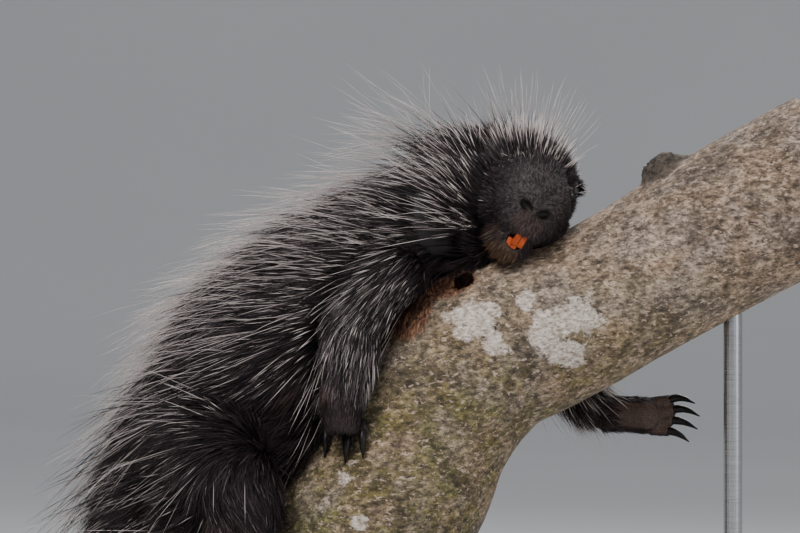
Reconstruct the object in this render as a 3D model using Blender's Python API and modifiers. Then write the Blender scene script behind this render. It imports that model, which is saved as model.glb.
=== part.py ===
# A porcupine asleep on a slanting limb, life size, on a plain display stand.
# Lengths are in millimetres in the tables and become metres where a shape is made.
# X runs to the right, Y away from the viewer, Z up. The origin is under the middle of the base.
import math
import random

import bmesh
import bpy
from mathutils import Matrix, Vector
from mathutils.bvhtree import BVHTree

MM = 0.001
GAP = 0.3

# The limb: a centre line of (x, y, z, radius), cut square at both ends.
LIMB_LINE = [
    (-115, 0, 88, 85),
    (-87, 0, 144, 85),
    (-54, 0, 206, 85),
    (-19, 0, 267, 82),
    (6, 0, 318, 77),
    (48, 0, 371, 78),
    (109, 0, 397, 70),
    (169, 0, 428, 67),
    (255, 0, 478, 70),
    (353, 0, 530, 72),
]
LIMB_SIDES = 16
KNOT = {"at": (12, -40, 440), "radii": (27, 22, 15)}
BURLS = [((209, -6, 522), (19, 17, 27)), ((197, 2, 524), (11, 14, 18)), ((222, 0, 532), (10, 14, 14))]

# The stand: a flat base and two rods.
BASE_SIZE = (580, 300, 18)
BASE_EDGE = 3
ROD_RADIUS = 8
RODS = {"stand_rod_lower": (-80, 0, 110), "stand_rod_upper": (266, 0, 450)}

# The body: centre lines of (x, y, z, radius) and round masses of (place, radii).
SPINE_LINE = [
    (78, 20, 512, 34),
    (58, 12, 508, 40),
    (28, 4, 497, 46),
    (-6, 0, 478, 52),
    (-51, 0, 452, 58),
    (-85, 0, 428, 64),
    (-134, 0, 379, 73),
    (-183, 0, 318, 62),
    (-226, 0, 265, 46),
    (-247, 0, 215, 32),
    (-248, 0, 165, 26),
    (-239, 0, 115, 20),
    (-227, 0, 78, 12),
]
BODY_WIDENING = 1.16
MASSES = {
    "belly": ((-119, 0, 316), (50, 58, 50)),
    "far_flank": ((-34, 58, 396), (64, 26, 50)),
    "near_shoulder": ((-16, -40, 448), (38, 30, 36)),
    "far_shoulder": ((16, 42, 452), (38, 30, 36)),
    "near_haunch": ((-184, -46, 300), (50, 38, 54)),
    "far_haunch": ((-184, 46, 300), (50, 38, 54)),
    "near_thigh": ((-174, -54, 268), (44, 32, 58)),
    "far_thigh": ((-170, 54, 274), (42, 30, 54)),
}
LEG_LINES = {
    "foreleg_right": [(-4, -42, 452, 30), (-49, -60, 405, 26), (-58, -68, 368, 22), (-65, -74, 331, 17),
                      (-65, -72, 312, 15)],
    "foreleg_left": [(26, 48, 455, 30), (84, 94, 385, 25), (124, 76, 352, 21), (163, 52, 322, 16),
                     (182, 48, 321, 14)],
    "hindleg_right": [(-184, -45, 312, 44), (-150, -84, 262, 33), (-158, -74, 212, 23),
                      (-166, -62, 164, 17)],
    "hindleg_left": [(-184, 45, 312, 44), (-126, 88, 286, 33), (-121, 80, 246, 23), (-118, 72, 208, 17)],
}
# Where a leg leaves the trunk: a rounded socket of (x, y, z, radius) that the leg fills.
SOCKETS = {
    "foreleg_right": [(-16, -64, 440, 26), (-46, -66, 410, 34), (-58, -70, 372, 34), (-66, -76, 300, 36)],
    "foreleg_left": [(42, 62, 440, 30), (80, 90, 392, 36), (124, 78, 352, 34), (200, 44, 318, 34)],
    "hindleg_right": [(-176, -70, 304, 46), (-154, -86, 264, 44), (-158, -76, 215, 36),
                      (-167, -60, 135, 36)],
    "hindleg_left": [(-172, 70, 304, 46), (-130, 90, 286, 44), (-121, 84, 246, 36), (-118, 70, 170, 36)],
}
# Planes that part the trunk: a point and the way towards the outer piece.
NECK_PLANE = ((52, 10, 505), (0.80, 0.30, 0.12))
CHEST_PLANE = ((2, 0, 484), (0.86, 0.05, 0.48))
TAIL_PLANE = ((-243, 0, 228), (-0.35, 0, -0.94))
ANKLES = {
    "foreleg_right": ((-65, -73, 329), (-0.1, 0.0, -1.0)),
    "foreleg_left": ((168, 51, 322), (1.0, -0.1, 0.0)),
    "hindleg_right": ((-164, -64, 177), (0.0, 0.1, -1.0)),
    "hindleg_left": ((-119, 74, 221), (0.1, -0.1, -1.0)),
}

PLANED_WRISTS = ("foreleg_right", "foreleg_left")

# The head: its middle, the way it faces, and its roll, then masses as (forward, up, left) from the middle.
HEAD_AT = (88, 5, 511.6)
HEAD_FACING = (0.15, -0.975, -0.15)
HEAD_ROLL = math.radians(28)
HEAD_MASSES = {
    "cranium": ((-8, 1, 0), (44, 41, 45)),
    "face": ((24, -4, 0), (42, 36, 38)),
    "muzzle": ((44, -13, 0), (30, 26, 27)),
    "nose": ((60, -5, 0), (15, 13, 18)),
    "lip_right": ((55, -20, -9), (15, 14, 14)),
    "lip_left": ((55, -20, 9), (15, 14, 14)),
    "jaw": ((36, -40, 0), (30, 15, 21)),
    "cheek_right": ((14, -18, -26), (30, 26, 17)),
    "cheek_left": ((14, -18, 26), (30, 26, 17)),
}
NOSTRIL = {"at": (72, -4, 8.4), "radii": (7, 2.8, 5.6), "slant": math.radians(24)}
MOUTH = {"at": (62, -36.5, 0), "radii": (18, 5.5, 12)}
MOUTH_LINE = {"at": (48, -35, 0), "radii": (24, 1.4, 24)}
LOWER_LIP = {"at": (56, -47, -1), "radii": (11, 7, 13)}
EYE = {"at": (30, 17, 26.5), "radius": 5.0, "depth": 2.6, "lid": 2.0, "slit": 1.5}
EAR = {"at": (-24, 20, 44), "radii": (15, 13, 5.5), "cup": 4.0}
INCISORS = {
    "incisor_upper_right": ((62, -33, 0.2), (4.1, 3.6, 11), 1),
    "incisor_upper_left": ((62, -33, 4.7), (4.1, 3.6, 11), 1),
    "incisor_lower_right": ((60.5, -43.0, -4.9), (4.1, 3.4, 9), -1),
    "incisor_lower_left": ((60.5, -43.0, -0.4), (4.1, 3.4, 9), -1),
}

# Feet: a sole as (x, z) places on the bark with a radius, and toes as (root, claw root, claw tip) places.
NEAR_HAND = {
    "palm": [(-65, 332, 15), (-65, 320, 16)],
    "toes": [((-74, 320), (-82, 312), (-90, 287)), ((-69, 316), (-76, 307), (-83, 281)),
             ((-61, 315), (-58, 301), (-62, 278)), ((-55, 319), (-44, 308), (-46, 285))],
}
NEAR_SOLE = {
    "palm": [(-165, 164, 15), (-143, 170, 15), (-121, 177, 16)],
    "toes": [((-117, 192), (-106, 207), (-99, 222)), ((-113, 186), (-95, 198), (-84, 210)),
             ((-111, 179), (-90, 187), (-76, 195)), ((-112, 172), (-92, 175), (-77, 179)),
             ((-115, 165), (-99, 163), (-85, 162))],
}
FAR_SOLE = {
    "palm": [(-117, 208, 15), (-97, 216, 15), (-76, 226, 16)],
    "toes": [((-74, 242), (-64, 256), (-58, 270)), ((-69, 237), (-52, 249), (-42, 260)),
             ((-66, 230), (-46, 239), (-33, 247)), ((-67, 222), (-47, 227), (-33, 231)),
             ((-70, 215), (-54, 214), (-40, 213))],
}
FAR_HAND = {
    "palm": [(158, 53, 322, 16), (176, 49, 321, 15), (194, 45, 320, 16)],
    "toes": [((200, 45, 330), (214, 42, 333), (226, 36, 335), (236, 27, 331)),
             ((201, 44, 323), (217, 41, 325), (230, 35, 325), (240, 26, 320)),
             ((201, 44, 316), (216, 41, 316), (229, 35, 314), (238, 26, 309)),
             ((199, 45, 309), (212, 42, 307), (223, 36, 304), (231, 28, 298))],
}
# The feet that hold the limb: name, plan and the side of the limb, by the leg they end.
GRIPPING_FEET = {
    "foreleg_right": ("forefoot_right", NEAR_HAND, -1),
    "hindleg_right": ("hindfoot_right", NEAR_SOLE, -1),
    "hindleg_left": ("hindfoot_left", FAR_SOLE, 1),
}
TOE_RADIUS = 5.6
CLAW_RADIUS = 2.7
CLAW_TIP = 0.5

# How fine the flesh is: edge of the merged shape, smoothing turns and triangles kept.
FLESH = {"grain": 5.0, "turns": 8, "triangles": 1800}
HEAD_FLESH = {"grain": 2.6, "turns": 6, "triangles": 900}
SOCKET_FLESH = {"grain": 6.0, "turns": 10, "triangles": 150}
FOOT_FLESH = {"grain": 2.4, "turns": 4, "triangles": 300}

# The coat is built from three kinds of strand. Quills are short and stiff, guard hairs long and bowed,
# and locks are flat bunches of fur that overlap along the lie.
# Rings are shares of the length, and the tip is a point.
STRANDS = {
    "quill": {"width": 3.0, "thick": 2.6, "rings": {0.0: 1.0, 0.5: 0.8}, "bow": 0.05},
    "guard": {"width": 2.4, "thick": 2.2, "rings": {0.0: 1.0, 0.5: 0.8}, "bow": 0.16},
    "lock": {"width": 14.0, "thick": 2.4, "rings": {0.0: 0.75, 0.35: 1.0, 0.7: 0.6}, "bow": 0.20},
}
CORNERS = [math.radians(90), math.radians(210), math.radians(330)]
ROOT_DEPTH = 5
RAGGED = 0.10
EVENNESS = 0.78
TRIES = 40
CONTACT = 1.5
RETRIES = ((0.0, 1.0), (0.25, 1.0), (0.5, 0.85), (0.8, 0.65))
# For each node, how many of each kind, their lengths, and how far they stand off the lie of the coat.
COAT = {
    "head": {"quill": (30, 22, 56), "guard": (18, 60, 92), "lock": (0, 0, 0), "stand": 0.55},
    "neck": {"quill": (8, 38, 58), "guard": (14, 84, 114), "lock": (13, 46, 64), "stand": 0.40},
    "torso": {"quill": (36, 34, 54), "guard": (38, 70, 100), "lock": (50, 56, 82), "stand": 0.20},
    "tail": {"quill": (10, 24, 38), "guard": (0, 0, 0), "lock": (11, 32, 44), "stand": 0.26},
    "hindleg_right": {"quill": (6, 24, 36), "guard": (0, 0, 0), "lock": (9, 34, 48), "stand": 0.14},
    "hindleg_left": {"quill": (6, 24, 36), "guard": (0, 0, 0), "lock": (9, 34, 48), "stand": 0.14},
    "foreleg_right": {"quill": (7, 22, 32), "guard": (0, 0, 0), "lock": (9, 28, 42), "stand": 0.13},
    "foreleg_left": {"quill": (4, 22, 32), "guard": (0, 0, 0), "lock": (14, 50, 86), "stand": 0.10},
}
# The lie of the trunk's coat: at these places along X and Z the hair points this way.
TRUNK_LIE = [
    ((60, 520), (-0.55, 0.0, 0.80)),
    ((10, 500), (-0.86, 0.0, 0.42)),
    ((-40, 470), (-0.98, 0.0, 0.12)),
    ((-100, 410), (-1.00, 0.0, -0.02)),
    ((-160, 340), (-0.96, 0.0, -0.18)),
    ((-215, 280), (-0.84, 0.0, -0.50)),
    ((-250, 210), (-0.45, 0.0, -0.88)),
    ((-240, 110), (0.00, 0.0, -1.00)),
]
HANGING_SIDE = {"past_y": 48, "past_x": -70, "way": (0.30, 0.10, -1.0), "length": 1.15}
BARE_NEAR_BARK = 9
FACE_BARE = {"ahead": 10, "below": -26}
CROWN = {"low": -10, "high": 44, "side share": 0.25}

COLOURS = {
    "coat": (0.030, 0.025, 0.024, 1),
    "face": (0.075, 0.058, 0.050, 1),
    "bare skin": (0.160, 0.095, 0.075, 1),
    "claw": (0.020, 0.017, 0.015, 1),
    "enamel": (0.720, 0.190, 0.030, 1),
    "eye": (0.010, 0.008, 0.007, 1),
    "bark": (0.300, 0.230, 0.170, 1),
    "stand": (0.045, 0.045, 0.048, 1),
    "rod": (0.380, 0.380, 0.390, 1),
}


def point(place):
    return Vector(place) * MM


def head_axes():
    """Forward, up and left unit vectors of the tilted head."""
    forward = Vector(HEAD_FACING).normalized()
    upright = (Vector((0, 0, 1)) - forward * forward.z).normalized()
    sideways = upright.cross(forward)
    up = upright * math.cos(HEAD_ROLL) + sideways * math.sin(HEAD_ROLL)
    left = sideways * math.cos(HEAD_ROLL) - upright * math.sin(HEAD_ROLL)
    return forward, up, left


def head_point(place):
    forward, up, left = head_axes()
    ahead, above, aside = place
    return point(HEAD_AT) + (forward * ahead + up * above + left * aside) * MM


def head_turn():
    """The matrix that turns X, Y, Z into the head's forward, up and left."""
    return Matrix(head_axes()).transposed().to_4x4()


def clear_scene():
    for old in list(bpy.data.objects):
        bpy.data.objects.remove(old)


def new_collection(name, parent=None):
    made = bpy.data.collections.new(name)
    (parent or bpy.context.scene.collection).children.link(made)
    return made


def paint(obj, finish, roughness=0.7, metallic=0.0):
    material = bpy.data.materials.new(obj.name)
    material.use_nodes = True
    shader = material.node_tree.nodes["Principled BSDF"]
    shader.inputs["Base Color"].default_value = COLOURS[finish]
    shader.inputs["Roughness"].default_value = roughness
    shader.inputs["Metallic"].default_value = metallic
    obj.data.materials.clear()
    obj.data.materials.append(material)


def new_object(name, mesh, home):
    obj = bpy.data.objects.new(name, mesh)
    home.objects.link(obj)
    return obj


def from_bmesh(name, shape, home):
    mesh = bpy.data.meshes.new(name)
    shape.to_mesh(mesh)
    shape.free()
    return new_object(name, mesh, home)


def settle(obj):
    """Applies every modifier, and the object's own place, to its mesh."""
    graph = bpy.context.evaluated_depsgraph_get()
    graph.update()
    mesh = bpy.data.meshes.new_from_object(obj.evaluated_get(graph))
    mesh.transform(obj.matrix_world)
    name = obj.name
    home = obj.users_collection[0]
    bpy.data.objects.remove(obj)
    return new_object(name, mesh, home)


def tube(name, line, home, sides=20, widening=1.0, steps=4):
    """A closed round tube through (x, y, z, radius) places."""
    curve = bpy.data.curves.new(name, "CURVE")
    curve.dimensions = "3D"
    curve.bevel_depth = MM
    curve.bevel_resolution = sides // 2 - 2
    curve.use_fill_caps = True
    curve.resolution_u = steps
    spline = curve.splines.new("BEZIER")
    spline.bezier_points.add(len(line) - 1)
    for knot, (x, y, z, radius) in zip(spline.bezier_points, line):
        knot.co = point((x, y / widening, z))
        knot.radius = radius
        knot.handle_left_type = "AUTO"
        knot.handle_right_type = "AUTO"
    obj = new_object(name, curve, home)
    obj.scale.y = widening
    bpy.context.view_layer.update()
    obj = settle(obj)
    weld(obj)
    return obj


def weld(obj):
    shape = bmesh.new()
    shape.from_mesh(obj.data)
    bmesh.ops.remove_doubles(shape, verts=shape.verts, dist=1e-6)
    bmesh.ops.recalc_face_normals(shape, faces=shape.faces)
    shape.to_mesh(obj.data)
    shape.free()


def ball(name, place, radii, home, turn=None, fine=12):
    """An ellipsoid with its radii along the axes that turn gives."""
    shape = bmesh.new()
    bmesh.ops.create_uvsphere(shape, u_segments=fine, v_segments=fine // 2 + 1, radius=MM)
    stretch = Matrix.Diagonal((*radii, 1))
    matrix = Matrix.Translation(place) @ (turn or Matrix()) @ stretch
    bmesh.ops.transform(shape, matrix=matrix, verts=shape.verts)
    bmesh.ops.recalc_face_normals(shape, faces=shape.faces)
    return from_bmesh(name, shape, home)


def block(name, place, size, home, turn=None):
    shape = bmesh.new()
    bmesh.ops.create_cube(shape, size=1)
    matrix = Matrix.Translation(place) @ (turn or Matrix()) @ Matrix.Diagonal((*[s * MM for s in size], 1))
    bmesh.ops.transform(shape, matrix=matrix, verts=shape.verts)
    bmesh.ops.recalc_face_normals(shape, faces=shape.faces)
    return from_bmesh(name, shape, home)


def beyond(name, plane, home, size=(220, 220, 220), back=0.0):
    """A block on the outer side of a plane, set back towards the inner side by back."""
    place, way = plane
    outward = Vector(way).normalized()
    turn = outward.to_track_quat("Z", "Y").to_matrix().to_4x4()
    centre = point(place) + outward * (size[2] / 2 - back) * MM
    return block(name, centre, size, home, turn)


def merge(name, pieces, home, grain, turns, triangles):
    """One smooth closed shape over all the pieces."""
    shape = bmesh.new()
    for piece in pieces:
        shape.from_mesh(piece.data)
        bpy.data.objects.remove(piece)
    obj = from_bmesh(name, shape, home)
    remesh = obj.modifiers.new("merge", "REMESH")
    remesh.mode = "VOXEL"
    remesh.voxel_size = grain * MM
    smooth = obj.modifiers.new("smooth", "SMOOTH")
    smooth.iterations = turns
    obj = settle(obj)
    shape = bmesh.new()
    shape.from_mesh(obj.data)
    bmesh.ops.triangulate(shape, faces=shape.faces)
    shape.to_mesh(obj.data)
    shape.free()
    fewer = obj.modifiers.new("fewer", "DECIMATE")
    fewer.ratio = min(1.0, triangles / len(obj.data.polygons))
    return settle(obj)


def combine(obj, tool, operation, keep_tool=False):
    """Cuts or joins two closed shapes. The exact solver returns nothing for one of the legs."""
    step = obj.modifiers.new(operation.lower(), "BOOLEAN")
    step.operation = operation
    step.solver = "MANIFOLD"
    step.object = tool
    obj = settle(obj)
    if not keep_tool:
        bpy.data.objects.remove(tool)
    return largest_shell(obj)


def copy_of(obj, name, home):
    return new_object(name, obj.data.copy(), home)


def grown(obj, name, home, by=GAP):
    """A copy of a shape pushed out along its normals."""
    shape = bmesh.new()
    shape.from_mesh(obj.data)
    bmesh.ops.triangulate(shape, faces=shape.faces)
    shape.normal_update()
    for vert in shape.verts:
        vert.co += vert.normal * vert.calc_shell_factor() * by * MM
    return from_bmesh(name, shape, home)


def largest_shell(obj):
    """Keeps the closed surface that holds the most, and drops loose scraps and sealed hollows."""
    shape = bmesh.new()
    shape.from_mesh(obj.data)
    bmesh.ops.triangulate(shape, faces=shape.faces)
    unseen = set(shape.verts)
    shells = []
    while unseen:
        start = unseen.pop()
        shell = {start}
        queue = [start]
        while queue:
            for edge in queue.pop().link_edges:
                for vert in edge.verts:
                    if vert in unseen:
                        unseen.remove(vert)
                        shell.add(vert)
                        queue.append(vert)
        shells.append(shell)
    best = max(shells, key=shell_volume)
    bmesh.ops.delete(shape, geom=[v for v in shape.verts if v not in best], context="VERTS")
    shape.to_mesh(obj.data)
    shape.free()
    return obj


def shell_volume(shell):
    faces = {face for vert in shell for face in vert.link_faces}
    total = 0.0
    for face in faces:
        a, b, c = (vert.co for vert in face.verts)
        total += a.dot(b.cross(c))
    return abs(total)


def tree_of(obj):
    shape = bmesh.new()
    shape.from_mesh(obj.data)
    tree = BVHTree.FromBMesh(shape)
    shape.free()
    return tree


def make_limb(home):
    limb = tube("limb", LIMB_LINE, home, sides=LIMB_SIDES, steps=2)
    for place, radii in BURLS:
        limb = combine(limb, ball("burl", point(place), radii, home, fine=10), "UNION")
    knot = ball("knot", point(KNOT["at"]), KNOT["radii"], home)
    limb = combine(limb, knot, "DIFFERENCE")
    limb.name = "limb"
    paint(limb, "bark", 0.85)
    return limb


def make_stand(parts, tools, limb):
    base = block("stand_base", point((0, 0, BASE_SIZE[2] / 2)), BASE_SIZE, parts)
    edge = base.modifiers.new("edge", "BEVEL")
    edge.width = BASE_EDGE * MM
    edge.segments = 2
    base = settle(base)
    paint(base, "stand", 0.45)
    for name, (x, y, top) in RODS.items():
        foot = BASE_SIZE[2] + GAP
        shape = bmesh.new()
        bmesh.ops.create_cone(shape, cap_ends=True, segments=24, radius1=ROD_RADIUS * MM,
                              radius2=ROD_RADIUS * MM, depth=(top - foot) * MM,
                              matrix=Matrix.Translation(point((x, y, (top + foot) / 2))))
        rod = from_bmesh(name, shape, parts)
        rod = combine(rod, grown(limb, "limb_grown", tools), "DIFFERENCE")
        paint(rod, "rod", 0.35, 1.0)


def body_flesh(home):
    """Trunk, tail and legs in one piece."""
    pieces = [tube("trunk", SPINE_LINE, home, widening=BODY_WIDENING)]
    for name, (place, radii) in MASSES.items():
        pieces.append(ball(name, point(place), radii, home, fine=20))
    for name, line in LEG_LINES.items():
        pieces.append(tube(name, line, home))
    tip = SPINE_LINE[-1]
    pieces.append(ball("tail_tip", point(tip[:3]), [tip[3]] * 3, home))
    return merge("flesh", pieces, home, **FLESH)


def make_head(parts, tools):
    turn = head_turn()
    pieces = [tube("nape", SPINE_LINE[:4], tools, widening=BODY_WIDENING)]
    for name, (place, radii) in HEAD_MASSES.items():
        pieces.append(ball(name, head_point(place), radii, tools, turn))
    pieces.append(ball("lower_lip", head_point(LOWER_LIP["at"]), LOWER_LIP["radii"], tools, turn))
    head = merge("head", pieces, parts, **HEAD_FLESH)
    for opening in (MOUTH_LINE, MOUTH):
        cut = ball("mouth", head_point(opening["at"]), opening["radii"], tools, turn)
        head = combine(head, cut, "DIFFERENCE")
    for side in (-1, 1):
        ahead, above, aside = NOSTRIL["at"]
        slant = Matrix.Rotation(-side * NOSTRIL["slant"], 4, "X")
        middle = head_point((ahead, above, side * aside))
        hole = ball("nostril", middle, NOSTRIL["radii"], tools, turn @ slant, 8)
        head = combine(head, hole, "DIFFERENCE")
    return head


def make_eyes(head, parts, tools):
    """A ball in a socket on each side, behind two lids that leave a narrow slit."""
    skin = tree_of(head)
    turn = head_turn()
    for side, name in ((-1, "eye_right"), (1, "eye_left")):
        ahead, above, aside = EYE["at"]
        near = head_point((ahead, above, side * aside))
        spot, normal, _, _ = skin.find_nearest(near)
        middle = spot - normal * EYE["depth"] * MM
        radius = EYE["radius"]
        lid = ball("lid", middle, [radius + EYE["lid"]] * 3, tools, turn, 10)
        head = combine(head, lid, "UNION")
        socket = ball("socket", middle, [radius + GAP] * 3, tools, turn, 10)
        outward = normal.normalized()
        slit_turn = outward.to_track_quat("X", "Z").to_matrix().to_4x4()
        opening = (radius, radius, EYE["slit"])
        slit = ball("slit", middle + outward * radius * MM, opening, tools, slit_turn, 8)
        head = combine(head, combine(socket, slit, "UNION"), "DIFFERENCE")
        eye = ball(name, middle, [radius] * 3, parts, turn, 10)
        paint(eye, "eye", 0.1)
    return head


def make_ears(head, parts, tools):
    forward, up, left = head_axes()
    shell = grown(head, "head_grown", tools)
    skin = tree_of(head)
    for side, name in ((-1, "ear_right"), (1, "ear_left")):
        ahead, above, aside = EAR["at"]
        root, normal, _, _ = skin.find_nearest(head_point((ahead, above, side * aside)))
        opening = (left * side * 0.75 + forward * 0.65).normalized()
        rise = (up * 0.75 + left * side * 0.6 - forward * 0.3)
        rise = (rise - opening * rise.dot(opening)).normalized()
        across = opening.cross(rise)
        turn = Matrix((rise, across, opening)).transposed().to_4x4()
        tall, wide, thick = EAR["radii"]
        middle = root + rise * tall * 0.45 * MM
        ear = ball(name, middle, (tall, wide, thick), parts, turn, 10)
        inside = middle + (opening * EAR["cup"] + rise * 2) * MM
        cup = ball("cup", inside, (tall * 0.8, wide * 0.78, thick), tools, turn, 10)
        ear = combine(ear, cup, "DIFFERENCE")
        ear = combine(ear, shell, "DIFFERENCE", keep_tool=True)
        paint(ear, "coat")
    bpy.data.objects.remove(shell)


def make_incisors(head, parts, tools):
    """Two pairs of chisel teeth; each is cut clear of the head, which the roots run into."""
    shell = grown(head, "head_grown", tools)
    turn = head_turn()
    for name, (place, (wide, thick, tall), way) in INCISORS.items():
        shape = bmesh.new()
        bmesh.ops.create_cube(shape, size=1)
        for vert in shape.verts:
            edge = vert.co.y * way < 0
            if edge and vert.co.x < 0:
                vert.co.y += way * 0.22
            vert.co = Vector((vert.co.x * thick, vert.co.y * tall, vert.co.z * wide))
        bmesh.ops.bevel(shape, geom=shape.edges[:], offset=0.7, segments=1, affect="EDGES")
        matrix = Matrix.Translation(head_point(place)) @ turn @ Matrix.Scale(MM, 4)
        bmesh.ops.transform(shape, matrix=matrix, verts=shape.verts)
        bmesh.ops.recalc_face_normals(shape, faces=shape.faces)
        tooth = from_bmesh(name, shape, parts)
        tooth = combine(tooth, shell, "DIFFERENCE", keep_tool=True)
        paint(tooth, "enamel", 0.35)
    bpy.data.objects.remove(shell)


def on_bark(bark, x, z, side, off):
    """The place off millimetres out from the limb's surface, seen along Y from that side."""
    start = Vector((x * MM, side * 0.5, z * MM))
    hit, normal, _, _ = bark.ray_cast(start, Vector((0, -side, 0)))
    if hit is None:
        hit = bark.find_nearest(start)[0]
        normal = Vector((0, side, 0))
    return (hit + normal * off * MM) / MM


def gripping_foot(name, plan, side, bark, parts, tools):
    """A foot pressed on the bark, with its toes and the places of its claws."""
    palm = [(*on_bark(bark, x, z, side, radius * 0.75), radius) for x, z, radius in plan["palm"]]
    pieces = [tube("palm", palm, tools)]
    pieces.append(ball("heel", point(palm[0][:3]), [palm[0][3]] * 3, tools))
    pieces.append(ball("pad", point(palm[-1][:3]), [palm[-1][3]] * 3, tools))
    claws = []
    for root, knuckle, tip in plan["toes"]:
        start = on_bark(bark, *root, side, 8)
        bend = on_bark(bark, *knuckle, side, 7)
        end = on_bark(bark, *tip, side, 1.6)
        pieces.append(tube("toe", [(*start, TOE_RADIUS + 1), (*bend, TOE_RADIUS)], tools, sides=10))
        pieces.append(ball("toe_end", point(bend), [TOE_RADIUS] * 3, tools))
        arch = (bend * 0.45 + end * 0.55) + Vector((0, side * 4.5, 0))
        claws.append([bend, arch, end])
    return merge(name, pieces, parts, **FOOT_FLESH), claws


def hanging_foot(name, plan, parts, tools):
    pieces = [tube("palm", plan["palm"], tools)]
    pieces.append(ball("pad", point(plan["palm"][-1][:3]), [plan["palm"][-1][3]] * 3, tools))
    claws = []
    for root, knuckle, arch, tip in plan["toes"]:
        pieces.append(tube("toe", [(*root, TOE_RADIUS + 1), (*knuckle, TOE_RADIUS)], tools, sides=10))
        pieces.append(ball("toe_end", point(knuckle), [TOE_RADIUS] * 3, tools))
        claws.append([Vector(knuckle), Vector(arch), Vector(tip)])
    return merge(name, pieces, parts, **FOOT_FLESH), claws


def make_claws(foot, claws, parts, tools, bark_grown):
    shell = grown(foot, "foot_grown", tools)
    made = []
    for number, (root, arch, tip) in enumerate(claws, 1):
        line = [(*root, CLAW_RADIUS), (*arch, CLAW_RADIUS * 0.8), (*tip, CLAW_TIP)]
        claw = tube(f"claw_{foot.name}_{number}", line, parts, sides=5, steps=2)
        claw = combine(claw, shell, "DIFFERENCE", keep_tool=True)
        claw = combine(claw, bark_grown, "DIFFERENCE", keep_tool=True)
        paint(claw, "claw", 0.3)
        made.append(claw)
    bpy.data.objects.remove(shell)
    return made


def make_animal(parts, tools, limb):
    bark = tree_of(limb)
    bark_grown = grown(limb, "limb_grown", tools)
    flesh = body_flesh(parts)
    flesh = combine(flesh, bark_grown, "DIFFERENCE", keep_tool=True)
    part_the_body(flesh, parts, tools)
    head = make_head(parts, tools)
    head = combine(head, bark_grown, "DIFFERENCE", keep_tool=True)
    head = combine(head, beyond("face_side", NECK_PLANE, tools, (260, 260, 220), -GAP / 2), "INTERSECT")
    head = make_eyes(head, parts, tools)
    make_ears(head, parts, tools)
    make_incisors(head, parts, tools)
    paint(head, "face")
    feet = {"foreleg_left": hanging_foot("forefoot_left", FAR_HAND, parts, tools)}
    for leg, (name, plan, side) in GRIPPING_FEET.items():
        feet[leg] = gripping_foot(name, plan, side, bark, parts, tools)
    for leg, (foot, claws) in feet.items():
        others = [name for name in ("torso", "neck", "tail", *LEG_LINES) if name != leg]
        cut_clear(others, grown(foot, "whole_foot", tools), parts)
        foot = combine(foot, bark_grown, "DIFFERENCE", keep_tool=True)
        if leg in PLANED_WRISTS:
            side = beyond("foot_side", ANKLES[leg], tools, (120, 120, 120), -GAP / 2)
            foot = combine(foot, side, "INTERSECT")
        else:
            foot = combine(foot, grown(parts.objects[leg], "leg_grown", tools), "DIFFERENCE")
        made = make_claws(foot, claws, parts, tools, bark_grown)
        paint(foot, "coat")
        for claw in made:
            cut_clear(("torso", "neck", "tail", *LEG_LINES), grown(claw, "whole_claw", tools), parts)
    bpy.data.objects.remove(bark_grown)


def cut_clear(names, shell, parts):
    """Cuts every named node that a shape, grown by the usual gap, runs into."""
    skin = tree_of(shell)
    for name in names:
        node = parts.objects[name]
        if skin.overlap(tree_of(node)):
            combine(node, shell, "DIFFERENCE", keep_tool=True).name = name
    bpy.data.objects.remove(shell)


def part_the_body(flesh, parts, tools):
    """Parts the one flesh into neck, torso, tail and legs, with a thin gap at each cut."""
    for leg, line in SOCKETS.items():
        piece = copy_of(flesh, leg, parts)
        socket = merge("socket", [tube("socket", line, tools)], tools, **SOCKET_FLESH)
        socket_grown = grown(socket, "socket_grown", tools)
        piece = combine(piece, socket, "INTERSECT")
        foot_side = beyond("foot_side", ANKLES[leg], tools, (120, 120, 120), GAP / 2)
        piece = combine(piece, foot_side, "DIFFERENCE")
        paint(piece, "coat")
        flesh = combine(flesh, socket_grown, "DIFFERENCE")
    tail = copy_of(flesh, "tail", parts)
    tail = combine(tail, beyond("tail_side", TAIL_PLANE, tools, (200, 200, 260), -GAP / 2), "INTERSECT")
    paint(tail, "coat")
    for plane, size in ((TAIL_PLANE, (200, 200, 260)), (NECK_PLANE, (260, 260, 220))):
        flesh = combine(flesh, beyond("outer_side", plane, tools, size, GAP / 2), "DIFFERENCE")
    neck = copy_of(flesh, "neck", parts)
    neck = combine(neck, beyond("neck_side", CHEST_PLANE, tools, (260, 260, 220), -GAP / 2), "INTERSECT")
    paint(neck, "coat")
    flesh = combine(flesh, beyond("neck_side", CHEST_PLANE, tools, (260, 260, 220), GAP / 2), "DIFFERENCE")
    flesh.name = "torso"
    paint(flesh, "coat")


def strand(root, way, normal, length, kind, turn, extra=0.0):
    """The points and faces of one closed, tapering, bowed strand, extra thicker all round."""
    plan = STRANDS[kind]
    flat = way.cross(normal)
    if flat.length < 0.1:
        flat = way.orthogonal()
    flat = Matrix.Rotation(turn, 3, way) @ flat.normalized()
    ridge = way.cross(flat)
    count = len(CORNERS)
    points = []
    for share, size in plan["rings"].items():
        middle = strand_point(root, way, normal, length, plan["bow"], share)
        wide = plan["width"] / 2 * size + extra
        thick = plan["thick"] / 2 * size + extra
        points += [middle + (flat * math.cos(t) * wide + ridge * math.sin(t) * thick) * MM for t in CORNERS]
    points.append(strand_point(root, way, normal, length + extra, plan["bow"], 1.0))
    faces = [tuple(reversed(range(count)))]
    rings = len(plan["rings"])
    for ring in range(rings - 1):
        for corner in range(count):
            a = ring * count + corner
            b = ring * count + (corner + 1) % count
            faces += [(a, b, b + count), (a, b + count, a + count)]
    last = (rings - 1) * count
    faces += [(last + corner, last + (corner + 1) % count, rings * count) for corner in range(count)]
    return points, faces


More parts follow.
